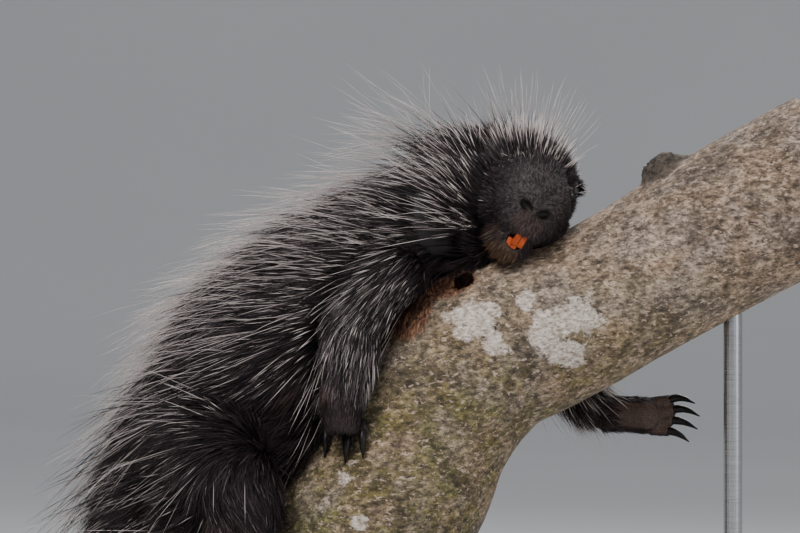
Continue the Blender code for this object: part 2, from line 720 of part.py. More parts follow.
def strand_point(root, way, normal, length, bow, share):
    """The place at that share of a strand, which bows back towards the body and sinks a little."""
    reach = -ROOT_DEPTH + (length + ROOT_DEPTH) * share
    drop = (normal * 0.5 + Vector((0, 0, 0.5))) * length * bow * share ** 2
    return root + (way * reach - drop) * MM


def trunk_way(place):
    """The lie of the trunk's coat at a place, from the two nearest named places."""
    ranked = sorted(TRUNK_LIE, key=lambda item: math.dist(item[0], (place.x / MM, place.z / MM)))
    total = Vector((0, 0, 0))
    for (x, z), way in ranked[:3]:
        total += Vector(way) / (math.dist((x, z), (place.x / MM, place.z / MM)) + 10)
    return total.normalized()


def leg_way(place, line):
    """Along the leg towards the foot, beside the nearest stretch of its line."""
    best = None
    for start, end in zip(line, line[1:]):
        a = point(start[:3])
        b = point(end[:3])
        share = min(1.0, max(0.0, (place - a).dot(b - a) / (b - a).length_squared))
        away = (place - a.lerp(b, share)).length
        if best is None or away < best[0]:
            best = (away, (b - a).normalized())
    return best[1]


def hair_way(name, place, normal):
    if name == "head":
        way = (place - head_point((66, -6, 0))).normalized()
    elif name in LEG_LINES:
        way = leg_way(place, LEG_LINES[name])
        if name == "foreleg_left":
            way = (way + Vector(HANGING_SIDE["way"]) * 2.5).normalized()
    elif hangs(name, place):
        way = Vector(HANGING_SIDE["way"]).normalized()
    else:
        way = trunk_way(place)
    way = way - normal * min(0.0, way.dot(normal))
    return (way.normalized() + normal * COAT[name]["stand"]).normalized()


def hangs(name, place):
    past = HANGING_SIDE
    return name == "torso" and place.y / MM > past["past_y"] and place.x / MM > past["past_x"]


def head_offset(place):
    """A place as (forward, up, left) millimetres from the middle of the head."""
    offset = (place - point(HEAD_AT)) / MM
    return [offset.dot(axis) for axis in head_axes()]


def is_bare(name, place, bark):
    """Bare of long hair: close against the limb, and the front of the face."""
    if bark.find_nearest(place)[3] / MM < BARE_NEAR_BARK:
        return True
    if name != "head":
        return False
    ahead, above, _ = head_offset(place)
    return ahead > FACE_BARE["ahead"] or above < FACE_BARE["below"]


def length_share(name, place):
    """How much of its length a strand has here: short on the cheeks, long on the crown and the far side."""
    if hangs(name, place):
        return HANGING_SIDE["length"]
    if name != "head":
        return 1.0
    above = head_offset(place)[1]
    share = (above - CROWN["low"]) / (CROWN["high"] - CROWN["low"])
    return CROWN["side share"] + (1 - CROWN["side share"]) * min(1.0, max(0.0, share))


def spread_roots(obj, count, rng, bare):
    """Evenly spread places on the hairy part of a surface, with their normals."""
    shape = bmesh.new()
    shape.from_mesh(obj.data)
    bmesh.ops.triangulate(shape, faces=shape.faces)
    shape.normal_update()
    faces = [face for face in shape.faces if not bare(face.calc_center_median(), face.normal)]
    areas = [face.calc_area() for face in faces]
    spacing = math.sqrt(sum(areas) / max(count, 1)) * EVENNESS
    kept = []
    for face in rng.choices(faces, weights=areas, k=count * TRIES):
        a, b, c = (vert.co for vert in face.verts)
        u = math.sqrt(rng.random())
        v = rng.random()
        place = a * (1 - u) + b * u * (1 - v) + c * u * v
        if all((place - other).length > spacing for other, _ in kept):
            kept.append((place, face.normal.copy()))
    shape.free()
    return kept


def grow_coat(name, parts, bark, others):
    """Sets the strands on one node and joins them to it in one union."""
    node = parts.objects[name]
    rng = random.Random(name)

    def bare(place, normal):
        touching = any(tree.find_nearest(place, CONTACT * MM)[0] for tree in others)
        return touching or is_bare(name, place, bark)

    bunch = new_collection("strands")
    for kind in STRANDS:
        wanted, shortest, longest = COAT[name][kind]
        if not wanted:
            continue
        for place, normal in spread_roots(node, wanted, rng, bare):
            shift = Vector([rng.uniform(-1, 1) for _ in range(3)]) * RAGGED
            length = rng.uniform(shortest, longest) * length_share(name, place)
            turn = rng.uniform(-0.4, 0.4)
            way = (hair_way(name, place, normal) + shift).normalized()
            found = clear_strand(place, way, normal, length, kind, turn, others)
            if found:
                mesh = bpy.data.meshes.new("strand")
                mesh.from_pydata(found[0], [], found[1])
                new_object("strand", mesh, bunch)
    step = node.modifiers.new("coat", "BOOLEAN")
    step.operation = "UNION"
    step.operand_type = "COLLECTION"
    step.collection = bunch
    step.solver = "MANIFOLD"
    node = largest_shell(settle(node))
    for old in list(bunch.objects):
        bpy.data.objects.remove(old)
    bpy.data.collections.remove(bunch)
    return node


def clear_strand(place, way, normal, length, kind, turn, others):
    """The strand, raised or shortened until it clears every other node, or nothing."""
    for lift, share in RETRIES:
        raised = (way + normal * lift).normalized()
        points, faces = strand(place, raised, normal, length * share, kind, turn, 2.5 * GAP)
        body = BVHTree.FromPolygons(points, faces)
        if not any(body.overlap(other) for other in others):
            return strand(place, raised, normal, length * share, kind, turn)
    return None


def make_coat(parts, limb):
    bark = tree_of(limb)
    trees = {obj.name: tree_of(obj) for obj in parts.objects}
    for name in COAT:
        others = [tree for other, tree in trees.items() if other != name]
        trees[name] = tree_of(grow_coat(name, parts, bark, others))


def main():
    clear_scene()
    parts = new_collection("porcupine on a limb")
    tools = new_collection("cutters")
    tools.hide_render = True
    limb = make_limb(parts)
    make_stand(parts, tools, limb)
    make_animal(parts, tools, limb)
    make_coat(parts, limb)
    for obj in parts.objects:
        obj.data.shade_smooth()
        obj.data.set_sharp_from_angle(angle=math.radians(50))


main()
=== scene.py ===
import math

import bmesh
import bpy
import numpy as np
from mathutils import Matrix, Vector, noise
from mathutils.bvhtree import BVHTree
from mathutils.kdtree import KDTree


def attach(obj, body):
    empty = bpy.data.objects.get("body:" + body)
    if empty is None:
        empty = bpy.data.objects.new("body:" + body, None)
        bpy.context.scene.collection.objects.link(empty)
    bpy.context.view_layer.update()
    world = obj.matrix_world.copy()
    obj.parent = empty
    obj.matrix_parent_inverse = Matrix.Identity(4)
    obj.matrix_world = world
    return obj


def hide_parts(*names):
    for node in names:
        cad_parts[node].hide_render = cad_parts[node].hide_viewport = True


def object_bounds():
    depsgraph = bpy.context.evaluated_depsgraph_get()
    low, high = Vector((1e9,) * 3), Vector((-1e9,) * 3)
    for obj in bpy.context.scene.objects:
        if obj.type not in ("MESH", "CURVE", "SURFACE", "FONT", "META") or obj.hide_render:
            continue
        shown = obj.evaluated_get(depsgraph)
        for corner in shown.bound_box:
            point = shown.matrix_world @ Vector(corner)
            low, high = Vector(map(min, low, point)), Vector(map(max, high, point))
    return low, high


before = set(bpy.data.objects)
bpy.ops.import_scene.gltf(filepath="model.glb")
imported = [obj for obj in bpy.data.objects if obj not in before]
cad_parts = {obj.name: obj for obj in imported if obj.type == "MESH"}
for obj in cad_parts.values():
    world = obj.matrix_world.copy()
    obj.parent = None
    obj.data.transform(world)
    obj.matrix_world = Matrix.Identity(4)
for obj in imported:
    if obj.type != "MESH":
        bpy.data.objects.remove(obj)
cadBox = [list(corner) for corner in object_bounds()]
print("frame loaded")

mm = 0.001


def deselectAll():
    bpy.ops.object.select_all(action="DESELECT")


def pickOnly(obj):
    deselectAll()
    obj.select_set(True)
    bpy.context.view_layer.objects.active = obj


def addStep(obj, kind, **settings):
    step = obj.modifiers.new(kind.lower(), kind)
    for key, value in settings.items():
        setattr(step, key, value)


def applyAll(obj):
    pickOnly(obj)
    for step in list(obj.modifiers):
        bpy.ops.object.modifier_apply(modifier=step.name)


def intoScene(name, data):
    obj = bpy.data.objects.new(name, data)
    bpy.context.scene.collection.objects.link(obj)
    return obj


def metres(place):
    return np.array(place[:3], float) * mm


def addBall(name, middle, radii, turn=None, fine=24):
    # the middle is in metres, the radii in millimetres
    deselectAll()
    bpy.ops.mesh.primitive_uv_sphere_add(segments=fine, ring_count=fine // 2, radius=1)
    ball = bpy.context.object
    ball.name = name
    stretch = Matrix.Diagonal((*[r * mm for r in radii], 1))
    ball.data.transform(Matrix.Translation(Vector(middle)) @ (turn or Matrix()) @ stretch)
    if turn and turn.determinant() < 0:
        ball.data.flip_normals()   # the head's axes are left-handed
    return ball


def addTube(name, line, sides=24, widening=1.0, steps=6):
    # a bevelled curve through x, y, z, radius places, made a closed mesh
    deselectAll()
    bpy.ops.curve.primitive_bezier_curve_add()
    curve = bpy.context.object
    curve.name = name
    curve.data.bevel_depth = mm
    curve.data.bevel_resolution = sides // 2 - 2
    curve.data.use_fill_caps = True
    curve.data.resolution_u = steps
    spline = curve.data.splines[0]
    spline.bezier_points.add(len(line) - 2)
    for knot, (x, y, z, radius) in zip(spline.bezier_points, line):
        knot.co = Vector((x, y / widening, z)) * mm
        knot.radius = radius
        knot.handle_left_type = "AUTO"
        knot.handle_right_type = "AUTO"
    bpy.ops.object.convert(target="MESH")
    tube = bpy.context.object
    tube.data.transform(Matrix.Diagonal((1, widening, 1, 1)))
    weldMesh(tube)
    return tube


def weldMesh(obj):
    shape = bmesh.new()
    shape.from_mesh(obj.data)
    bmesh.ops.remove_doubles(shape, verts=shape.verts, dist=1e-6)
    bmesh.ops.recalc_face_normals(shape, faces=shape.faces)
    shape.to_mesh(obj.data)
    shape.free()


def fuse(name, pieces, grain, turns):
    # one smooth closed shape over all the pieces
    deselectAll()
    for piece in pieces:
        piece.select_set(True)
    joined = pieces[0]
    bpy.context.view_layer.objects.active = joined
    bpy.ops.object.join()
    joined.name = name
    addStep(joined, "REMESH", mode="VOXEL", voxel_size=grain * mm)
    addStep(joined, "SMOOTH", iterations=turns)
    applyAll(joined)
    return joined


def carve(obj, tool, how="DIFFERENCE"):
    addStep(obj, "BOOLEAN", operation=how, solver="MANIFOLD", object=tool)
    applyAll(obj)
    bpy.data.objects.remove(tool)
    return obj


def readAll(items, key, size=3, kind=float):
    found = np.empty(len(items) * size, kind)
    items.foreach_get(key, found)
    return found.reshape(-1, size)


def pointsOf(obj):
    return readAll(obj.data.vertices, "co")


def normalsOf(obj):
    return readAll(obj.data.vertices, "normal")


def setPoints(obj, places):
    obj.data.vertices.foreach_set("co", np.ascontiguousarray(places, np.float32).ravel())
    obj.data.update()


def addColours(mesh, layer, values):
    colours = np.ones((len(values), 4), np.float32)
    colours[:, :3] = values
    mesh.color_attributes.new(layer, "FLOAT_COLOR", "POINT").data.foreach_set("color", colours.ravel())


def treeOf(obj):
    shape = bmesh.new()
    shape.from_mesh(obj.data)
    tree = BVHTree.FromBMesh(shape)
    shape.free()
    return tree


def smoothStep(low, high, value):
    t = np.clip((value - low) / (high - low), 0, 1)
    return t * t * (3 - 2 * t)


def unit(vectors):
    return vectors / np.maximum(np.linalg.norm(vectors, axis=-1, keepdims=True), 1e-9)


def awayFrom(places, middle, radii):
    # 1 on the surface of an ellipsoid, less inside it
    return np.linalg.norm((places - np.array(middle)) / np.array(radii), axis=1)


def softSpot(places, middle, radii):
    return 1 - smoothStep(0.7, 1.3, awayFrom(places, middle, radii))


def finishPiece(obj, material, slot, *nodes):
    obj.data.materials.clear()
    obj.data.materials.append(material)
    obj.data.shade_smooth()
    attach(obj, "root")
    if nodes:
        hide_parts(*nodes)


# shader helpers: a socket takes a link or a plain value

def plug(socket, value):
    if isinstance(value, bpy.types.NodeSocket):
        socket.id_data.links.new(value, socket)
    else:
        socket.default_value = (*value, 1) if socket.type == "RGBA" else value


def newMaterial(name, shine):
    material = bpy.data.materials.new(name)
    material.use_nodes = True
    sockets = material.node_tree.nodes["Principled BSDF"].inputs
    for key, value in shine.items():
        sockets[key].default_value = value
    return material, material.node_tree, sockets


def addNode(tree, kind, inputs, **settings):
    node = tree.nodes.new("ShaderNode" + kind)
    for key, value in settings.items():
        setattr(node, key, value)
    for key, value in inputs.items():
        plug(node.inputs[key], value)
    return node


def objectPlace(tree):
    return addNode(tree, "TexCoord", {}).outputs["Object"]


def stretched(tree, where, scale, turn=(0, 0, 0)):
    return addNode(tree, "Mapping", {"Vector": where, "Scale": scale, "Rotation": turn}).outputs["Vector"]


def colourLayer(tree, layer):
    return addNode(tree, "VertexColor", {}, layer_name=layer).outputs["Color"]


def splitColour(tree, colour):
    return addNode(tree, "SeparateColor", {0: colour}).outputs


def ramp(tree, value, stops):
    # each stop is a place with a colour or a number
    node = addNode(tree, "ValToRGB", {"Fac": value})
    while len(node.color_ramp.elements) < len(stops):
        node.color_ramp.elements.new(0.5)
    for element, (at, colour) in zip(node.color_ramp.elements, stops):
        element.position = at
        element.color = (*(colour if isinstance(colour, tuple) else (colour,) * 3), 1)
    return node.outputs["Color"]


def mix(tree, share, first, second, blend="MIX"):
    inputs = {0: share, 6: first, 7: second}
    return addNode(tree, "Mix", inputs, data_type="RGBA", blend_type=blend).outputs[2]


def maths(tree, operation, first, second):
    return addNode(tree, "Math", {0: first, 1: second}, operation=operation).outputs[0]


def noiseOf(tree, where, scale, detail=4.0, rough=0.55, twist=0.0):
    return addNode(tree, "TexNoise", {"Vector": where, "Scale": scale, "Detail": detail, "Roughness": rough,
                                      "Distortion": twist}).outputs["Fac"]


def addBump(tree, sockets, height, distance, strength):
    bump = addNode(tree, "Bump", {"Height": height, "Distance": distance, "Strength": strength})
    plug(sockets["Normal"], bump.outputs["Normal"])


def makeGroup(name, inputs, outputs):
    group = bpy.data.node_groups.new(name, "ShaderNodeTree")
    for way, sockets in (("INPUT", inputs), ("OUTPUT", outputs)):
        for label, kind in sockets.items():
            group.interface.new_socket(label, in_out=way, socket_type="NodeSocket" + kind)
    return group, group.nodes.new("NodeGroupInput").outputs, group.nodes.new("NodeGroupOutput").inputs


def oneNoiseFinish(name, shine, pattern, colours, gloss=None, bump=None, stretch=(1, 1, 1)):
    # one noise drives the colour, the roughness between two values, and the bump
    material, tree, sockets = newMaterial(name, shine)
    tone = noiseOf(tree, stretched(tree, objectPlace(tree), stretch), *pattern)
    plug(sockets["Base Color"], ramp(tree, tone, tuple(zip((0.3, 0.7), colours))))
    if gloss:
        plug(sockets["Roughness"], ramp(tree, tone, tuple(zip((0.3, 0.7), gloss))))
    if bump:
        addBump(tree, sockets, tone, *bump)
    return material


# camera, lights and floor

studio = {
    "across": -17, "height": 448.4, "distance": 3000, "lens": 158.8, "sensor": 36, "farthest": 60,
    # place, size and power of each lamp, and the place they all light
    "lamps": {"key": ((-0.9, -1.6, 2.3), 1.1, 58), "fill": ((1.7, -1.5, 1.0), 1.4, 14),
              "rim": ((0.7, 1.5, 2.0), 1.0, 34)},
    "aim": (-0.05, 0, 0.36), "sky": 0.42, "skyColour": (0.9, 0.93, 1.0),
    # the floor's far edge is drawn up into a backdrop
    "floor": {"size": 14, "place": (0, 3, -0.0005), "edge": 9, "rise": 7, "bend": 3, "segments": 16},
}


def makeCameraAndLights():
    camera = intoScene("camera", bpy.data.cameras.new("camera"))
    camera.location = Vector((studio["across"], -studio["distance"], studio["height"])) * mm
    camera.rotation_euler = (math.pi / 2, 0, 0)
    camera.data.lens = studio["lens"]
    camera.data.sensor_width = studio["sensor"]
    camera.data.clip_end = studio["farthest"]
    bpy.context.scene.camera = camera
    for name, (spot, size, power) in studio["lamps"].items():
        light = bpy.data.lights.new(name, "AREA")
        light.size = size
        light.energy = power
        lamp = intoScene(name, light)
        lamp.location = spot
        aim = Vector(studio["aim"]) - Vector(spot)
        lamp.rotation_euler = aim.to_track_quat("-Z", "Y").to_euler()
    world = bpy.data.worlds.new("sky")
    bpy.context.scene.world = world
    world.use_nodes = True
    sky = world.node_tree.nodes["Background"].inputs
    plug(sky["Color"], studio["skyColour"])
    plug(sky["Strength"], studio["sky"])


def makeFloor():
    plan = studio["floor"]
    deselectAll()
    bpy.ops.mesh.primitive_plane_add(size=plan["size"], location=plan["place"])
    floor = bpy.context.object
    floor.name = "floor"
    floor.data.transform(Matrix.Translation(floor.location))
    floor.location = (0, 0, 0)
    bpy.ops.object.mode_set(mode="EDIT")
    bpy.ops.mesh.select_all(action="DESELECT")
    bpy.ops.object.mode_set(mode="OBJECT")
    for edge in floor.data.edges:
        edge.select = all(floor.data.vertices[i].co.y > plan["edge"] for i in edge.vertices)
    bpy.ops.object.mode_set(mode="EDIT")
    bpy.ops.mesh.extrude_region_move(TRANSFORM_OT_translate={"value": (0, 0, plan["rise"])})
    bpy.ops.object.mode_set(mode="OBJECT")
    addStep(floor, "BEVEL", width=plan["bend"], segments=plan["segments"])
    applyAll(floor)
    pale = oneNoiseFinish("pale floor", {"Roughness": 0.8}, (0.6, 2),
                          ((0.7, 0.7, 0.69), (0.74, 0.74, 0.73)))
    floor.data.materials.append(pale)
    floor.data.shade_smooth()


makeCameraAndLights()
makeFloor()
print("studio ready")


# the limb, in millimetres: x, y, z, radius along it

limbPlan = {
    "line": [(-115, 0, 88, 85), (-87, 0, 144, 85), (-54, 0, 206, 85), (-19, 0, 267, 82), (6, 0, 318, 77),
             (48, 0, 371, 78), (109, 0, 397, 70), (169, 0, 428, 67), (255, 0, 478, 70), (353, 0, 530, 72)],
    "burls": [((209, -6, 522), (18, 16, 26)), ((197, 2, 524), (10, 13, 17)), ((222, 0, 532), (9, 13, 13))],
    "hollow": ((12, -42, 440), (29, 24, 16)), "torn": ((-14, -50, 418), (20, 44, 27)),
    "hole": ((38, -26, 436), (9, 24, 8)),
    "grain": 3.0, "turns": 3, "saw": 2.5,
    "relief": {"sunk": 0.45, "broad": 0.5, "wrinkles": 0.22, "splinters": 4.0, "knobs": 5.0},
    # pale growths: middle, width and height
    "lichen": [((44, -70, 405), 26, 20), ((62, -72, 384), 13, 12), ((103, -66, 393), 15, 25),
               ((130, -60, 406), 27, 18), ((122, -66, 376), 18, 14), ((88, -64, 420), 11, 12),
               ((-15, -78, 386), 12, 14), ((-87, -78, 255), 12, 12), ((-50, -80, 236), 9, 8),
               ((-72, -80, 274), 15, 12), ((-60, -80, 288), 13, 11), ((150, 50, 420), 30, 22),
               ((-30, 78, 300), 26, 30)],
    "lichenEdge": {"in": 1.95, "out": 2.15, "noises": ((70, 5, 0.65, 1.9), (330, 3, 0.6, 0.5))},
    "mossy": (0.47, 0.33),   # heights in metres between which the green comes in
}
# colours by their places on a noise
barkColours = {
    "brown": ((0.34, (0.055, 0.036, 0.024)), (0.44, (0.185, 0.128, 0.086)), (0.54, (0.32, 0.222, 0.155)),
              (0.68, (0.54, 0.4, 0.3))),
    "grey": ((0.34, (0.07, 0.056, 0.046)), (0.5, (0.24, 0.188, 0.158)), (0.68, (0.5, 0.405, 0.345))),
    "shade": ((0.4, (0.48, 0.45, 0.4)), (0.56, (1.12, 1.1, 1.06))),
    "crust": ((0.36, (0.3, 0.235, 0.19)), (0.48, (0.56, 0.475, 0.41)), (0.62, (0.8, 0.7, 0.62))),
    "wound": ((0.36, (0.022, 0.01, 0.007)), (0.5, (0.15, 0.062, 0.03)), (0.66, (0.38, 0.185, 0.095))),
    "knobs": ((0.35, (0.012, 0.009, 0.007)), (0.7, (0.13, 0.1, 0.075))),
    "sawn": ((0.2, (0.34, 0.23, 0.13)), (0.8, (0.52, 0.38, 0.24))),
    "moss": (0.52, 0.58, 0.26), "speck": (0.04, 0.03, 0.02), "flake": (0.62, 0.46, 0.36),
}


def makeLimb():
    plan = limbPlan
    relief = plan["relief"]
    pieces = [addTube("limb_bark", plan["line"], 48, 1.0, 4)]
    pieces += [addBall("burl", metres(middle), radii) for middle, radii in plan["burls"]]
    bark = fuse("limb_bark", pieces, plan["grain"], plan["turns"])
    for name in ("hollow", "hole"):
        bark = carve(bark, addBall(name, metres(plan[name][0]), plan[name][1]))
    places = pointsOf(bark)
    torn = np.min([awayFrom(places / mm, *plan[name]) for name in ("hollow", "torn", "hole")], axis=0)
    knobs = np.min([awayFrom(places / mm, *burl) for burl in plan["burls"]], axis=0)
    depth = np.empty(len(places))
    for i, spot in enumerate(places):
        v = Vector(spot)
        broad = noise.fractal(v * 28, 1.0, 2.1, 3)
        wrinkle = noise.noise(Vector((v.x * 60, v.y * 200, v.z * 200)))
        depth[i] = -relief["sunk"] - abs(broad) * relief["broad"] - wrinkle * relief["wrinkles"]
        if torn[i] < 1.25:
            depth[i] -= abs(noise.noise(Vector((v.x * 420, v.y * 260, v.z * 90)))) * relief["splinters"]
        if knobs[i] < 1.2:
            depth[i] -= abs(noise.fractal(v * 160, 1.0, 2.2, 3)) * relief["knobs"]
    setPoints(bark, places + normalsOf(bark) * (depth * mm)[:, None])
    line = np.array(plan["line"], float)[:, :3]
    first, last = unit(line[1] - line[0]), unit(line[-1] - line[-2])
    sawn = np.maximum(1 - (places / mm - line[0]) @ first / plan["saw"],
                      1 - (line[-1] - places / mm) @ last / plan["saw"])
    addColours(bark.data, "torn", np.stack([1 - smoothStep(1.02, 1.3, torn), np.clip(sawn, 0, 1),
                                            1 - smoothStep(0.95, 1.35, knobs)], axis=1))
    return bark


def lichenGroup():
    inputs = {"Place": "Vector", "Middle": "Vector", "Size": "Vector"}
    group, given, result = makeGroup("lichen patch", inputs, {"Mask": "Float"})
    where = given["Place"]
    edge = limbPlan["lichenEdge"]
    offset = addNode(group, "VectorMath", {0: where, 1: given["Middle"]}, operation="SUBTRACT").outputs[0]
    scaled = addNode(group, "VectorMath", {0: offset, 1: given["Size"]}, operation="DIVIDE").outputs[0]
    total = addNode(group, "VectorMath", {0: scaled}, operation="LENGTH").outputs["Value"]
    for scale, detail, rough, share in edge["noises"]:
        ragged = noiseOf(group, where, scale, detail, rough)
        total = maths(group, "ADD", total, maths(group, "MULTIPLY", ragged, share))
    mask = addNode(group, "MapRange", {"Value": total, "From Min": edge["in"], "From Max": edge["out"],
                                       "To Min": 1, "To Max": 0})
    plug(result["Mask"], mask.outputs["Result"])
    return group


def barkMaterial():
    material, tree, sockets = newMaterial("mottled bark", {"Roughness": 0.82})
    colours = barkColours
    where = objectPlace(tree)
    grain = stretched(tree, where, (0.7, 1, 1.3), (0, 0.5, 0))
    middle = noiseOf(tree, grain, 190, 5, 0.66)
    speck = noiseOf(tree, grain, 430, 3, 0.7)
    greyer = ramp(tree, noiseOf(tree, where, 16, 5, 0.6, 0.4), ((0.42, 0), (0.6, 1)))
    colour = mix(tree, greyer, ramp(tree, middle, colours["brown"]), ramp(tree, middle, colours["grey"]))
    shade = ramp(tree, noiseOf(tree, where, 38, 5, 0.7, 0.8), colours["shade"])
    colour = mix(tree, 1.0, colour, shade, "MULTIPLY")
    height = addNode(tree, "SeparateXYZ", {0: where}).outputs["Z"]
    top, bottom = limbPlan["mossy"]
    low = addNode(tree, "MapRange", {"Value": height, "From Min": top, "From Max": bottom}).outputs["Result"]
    patchy = ramp(tree, noiseOf(tree, where, 34, 6, 0.75), ((0.38, 0.15), (0.58, 1)))
    colour = mix(tree, maths(tree, "MULTIPLY", low, patchy), colour, colours["moss"], "MULTIPLY")
    colour = mix(tree, ramp(tree, speck, ((0.37, 0.85), (0.47, 0))), colour, colours["speck"])
    flake = ramp(tree, noiseOf(tree, grain, 250, 4, 0.7, 0.4), ((0.57, 0), (0.63, 0.65)))
    colour = mix(tree, flake, colour, colours["flake"])
    group = lichenGroup()
    masks = None
    for place, wide, tall in limbPlan["lichen"]:
        size = (wide * mm, wide * mm, tall * mm)
        patch = addNode(tree, "Group", {"Place": where, "Middle": tuple(v * mm for v in place), "Size": size},
                        node_tree=group).outputs["Mask"]
        masks = patch if masks is None else maths(tree, "MAXIMUM", masks, patch)
    crust = ramp(tree, noiseOf(tree, grain, 260, 4, 0.7), colours["crust"])
    thin = ramp(tree, speck, ((0.38, 0.35), (0.5, 0.9)))
    colour = mix(tree, maths(tree, "MULTIPLY", masks, thin), colour, crust)
    parts = splitColour(tree, colourLayer(tree, "torn"))
    fibres = noiseOf(tree, stretched(tree, where, (3.5, 2, 0.8)), 140, 4, 0.6)
    colour = mix(tree, parts["Red"], colour, ramp(tree, fibres, colours["wound"]))
    knobs = ramp(tree, noiseOf(tree, where, 190, 4, 0.7), colours["knobs"])
    colour = mix(tree, parts["Blue"], colour, knobs)
    squashed = stretched(tree, where, (1, 1, 0.6))
    rings = addNode(tree, "TexWave", {"Vector": squashed, "Scale": 60, "Distortion": 3, "Detail": 3},
                    wave_type="RINGS", rings_direction="SPHERICAL").outputs["Fac"]
    colour = mix(tree, parts["Green"], colour, ramp(tree, rings, colours["sawn"]))
    plug(sockets["Base Color"], colour)
    rise = maths(tree, "ADD", maths(tree, "MULTIPLY", speck, 0.5),
                 noiseOf(tree, stretched(tree, where, (0.5, 1.6, 1.6)), 150, 5, 0.7, 0.6))
    rise = maths(tree, "ADD", rise, maths(tree, "MULTIPLY", masks, 0.25))
    splinters = maths(tree, "MULTIPLY", fibres, parts["Red"])
    rise = maths(tree, "ADD", rise, maths(tree, "MULTIPLY", splinters, 1.5))
    addBump(tree, sockets, rise, 0.0014, 0.9)
    return material


limbBark = makeLimb()
finishPiece(limbBark, barkMaterial(), "bark", "limb")
print("limb", len(limbBark.data.polygons))


# the stand keeps its shapes and gets its finish

def paintStand():
    board = oneNoiseFinish("satin black board", {}, (9, 5, 0.6),
                           ((0.018, 0.018, 0.019), (0.034, 0.033, 0.034)), None, (0.0003, 0.4), (1, 14, 14))
    tree = board.node_tree
    worn = ramp(tree, noiseOf(tree, objectPlace(tree), 12, 3), ((0.3, 0.34), (0.7, 0.46)))
    plug(tree.nodes["Principled BSDF"].inputs["Roughness"], worn)
    steel = oneNoiseFinish("brushed steel rod", {"Metallic": 1.0}, (22, 3),
                           ((0.36, 0.36, 0.37), (0.5, 0.5, 0.51)), (0.24, 0.38), stretch=(1, 1, 90))
    for name, material in (("stand_base", board), ("stand_rod_lower", steel), ("stand_rod_upper", steel)):
        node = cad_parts[name]
        node.data.materials.clear()
        node.data.materials.append(material)


paintStand()
print("stand painted")


# the body under the coat: the same stations as the solids, in millimetres: x, y, z, radius

spine = [(78, 20, 512, 34), (58, 12, 508, 40), (28, 4, 497, 46), (-6, 0, 478, 52), (-51, 0, 452, 58),
         (-85, 0, 428, 64), (-134, 0, 379, 73), (-183, 0, 318, 62), (-226, 0, 265, 46), (-247, 0, 215, 32),
         (-248, 0, 165, 26), (-239, 0, 115, 20), (-227, 0, 78, 12)]
masses = [((-119, 0, 316), (50, 58, 50)), ((-34, 58, 396), (64, 26, 50)), ((-24, -40, 450), (34, 30, 34)),
          ((16, 42, 452), (38, 30, 36)), ((44, -4, 466), (38, 40, 30)), ((35, 8, 535), (34, 34, 30)),
          ((-184, -46, 300), (50, 38, 54)), ((-184, 46, 300), (50, 38, 54)), ((-174, -54, 268), (44, 32, 58)),
          ((-170, 54, 274), (42, 30, 54))]
legs = {
    "foreRight": [(-10, -42, 454, 28), (-51, -60, 405, 25), (-58, -68, 368, 22), (-65, -74, 331, 17),
                  (-65, -72, 312, 15)],
    "foreLeft": [(26, 48, 455, 30), (84, 94, 385, 25), (124, 76, 352, 21), (163, 52, 322, 16),
                 (182, 48, 321, 14)],
    "hindRight": [(-184, -45, 312, 44), (-150, -84, 262, 33), (-158, -74, 212, 23), (-166, -62, 164, 17)],
    "hindLeft": [(-184, 45, 312, 44), (-126, 88, 286, 33), (-121, 80, 246, 23), (-118, 72, 208, 17)],
}
# how far the skin lies under the solids: less at the neck, and less towards each foot
bodyPlan = {"under": {"trunk": 8, "tail": 5, "leg": 3.5}, "tailBelow": 200, "neckPast": 20, "neckShare": 0.45,
            "widening": 1.16, "grain": 2.6, "turns": 10}

headPlan = {
    "at": (88, 5, 511.6), "facing": (0.15, -0.975, -0.15), "roll": 28, "grain": 1.15, "turns": 5,
    "first": {"grain": 2.0, "turns": 9}, "napeUnder": 6,
    # round masses as forward, up and left from the middle of the head
    "masses": [((-8, 1, 0), (44, 41, 45)), ((24, -4, 0), (42, 36, 38)), ((44, -13, 0), (30, 26, 27)),
               ((60, -5, 0), (15, 13, 18)), ((55, -20, -9), (15, 14, 14)), ((55, -20, 9), (15, 14, 14)),
               ((36, -40, 0), (30, 15, 21)), ((14, -18, -26), (30, 26, 17)), ((14, -18, 26), (30, 26, 17)),
               ((56, -47, -1), (11, 7, 13))],
    "mouth": ((62, -37.8, 0.0), (18, 6.4, 7.4)), "mouthLine": ((48, -35, 0), (24, 1.3, 24)),
    "nostril": {"at": (72, -6.5, 8.9), "radii": (7.0, 4.1, 7.8), "slant": 24},
    "eye": {"at": (30, 17, 26.5), "radius": 5.0, "depth": 2.6, "lid": 1.7, "slit": 1.8, "cut": 3.2,
            "fold": 0.7},
    "ear": {"at": (-24, 20, 44), "radii": (14.5, 12.5, 5), "cup": 4.0},
}


def headAxes():
    forward = Vector(headPlan["facing"]).normalized()
    upright = (Vector((0, 0, 1)) - forward * forward.z).normalized()
    sideways = upright.cross(forward)
    roll = math.radians(headPlan["roll"])
    up = upright * math.cos(roll) + sideways * math.sin(roll)
    left = sideways * math.cos(roll) - upright * math.sin(roll)
    return forward, up, left


forwardAxis, upAxis, leftAxis = headAxes()
headTurn = Matrix((forwardAxis, upAxis, leftAxis)).transposed().to_4x4()
headFrame = np.array([forwardAxis, upAxis, leftAxis])


def headPlace(offset, side=1):
    ahead, above, aside = offset
    return (Vector(headPlan["at"]) + forwardAxis * ahead + upAxis * above + leftAxis * (side * aside)) * mm


def headOffset(places):
    # forward, up and left of the head's middle, in millimetres, for an array of places
    return (places / mm - np.array(headPlan["at"])) @ headFrame.T


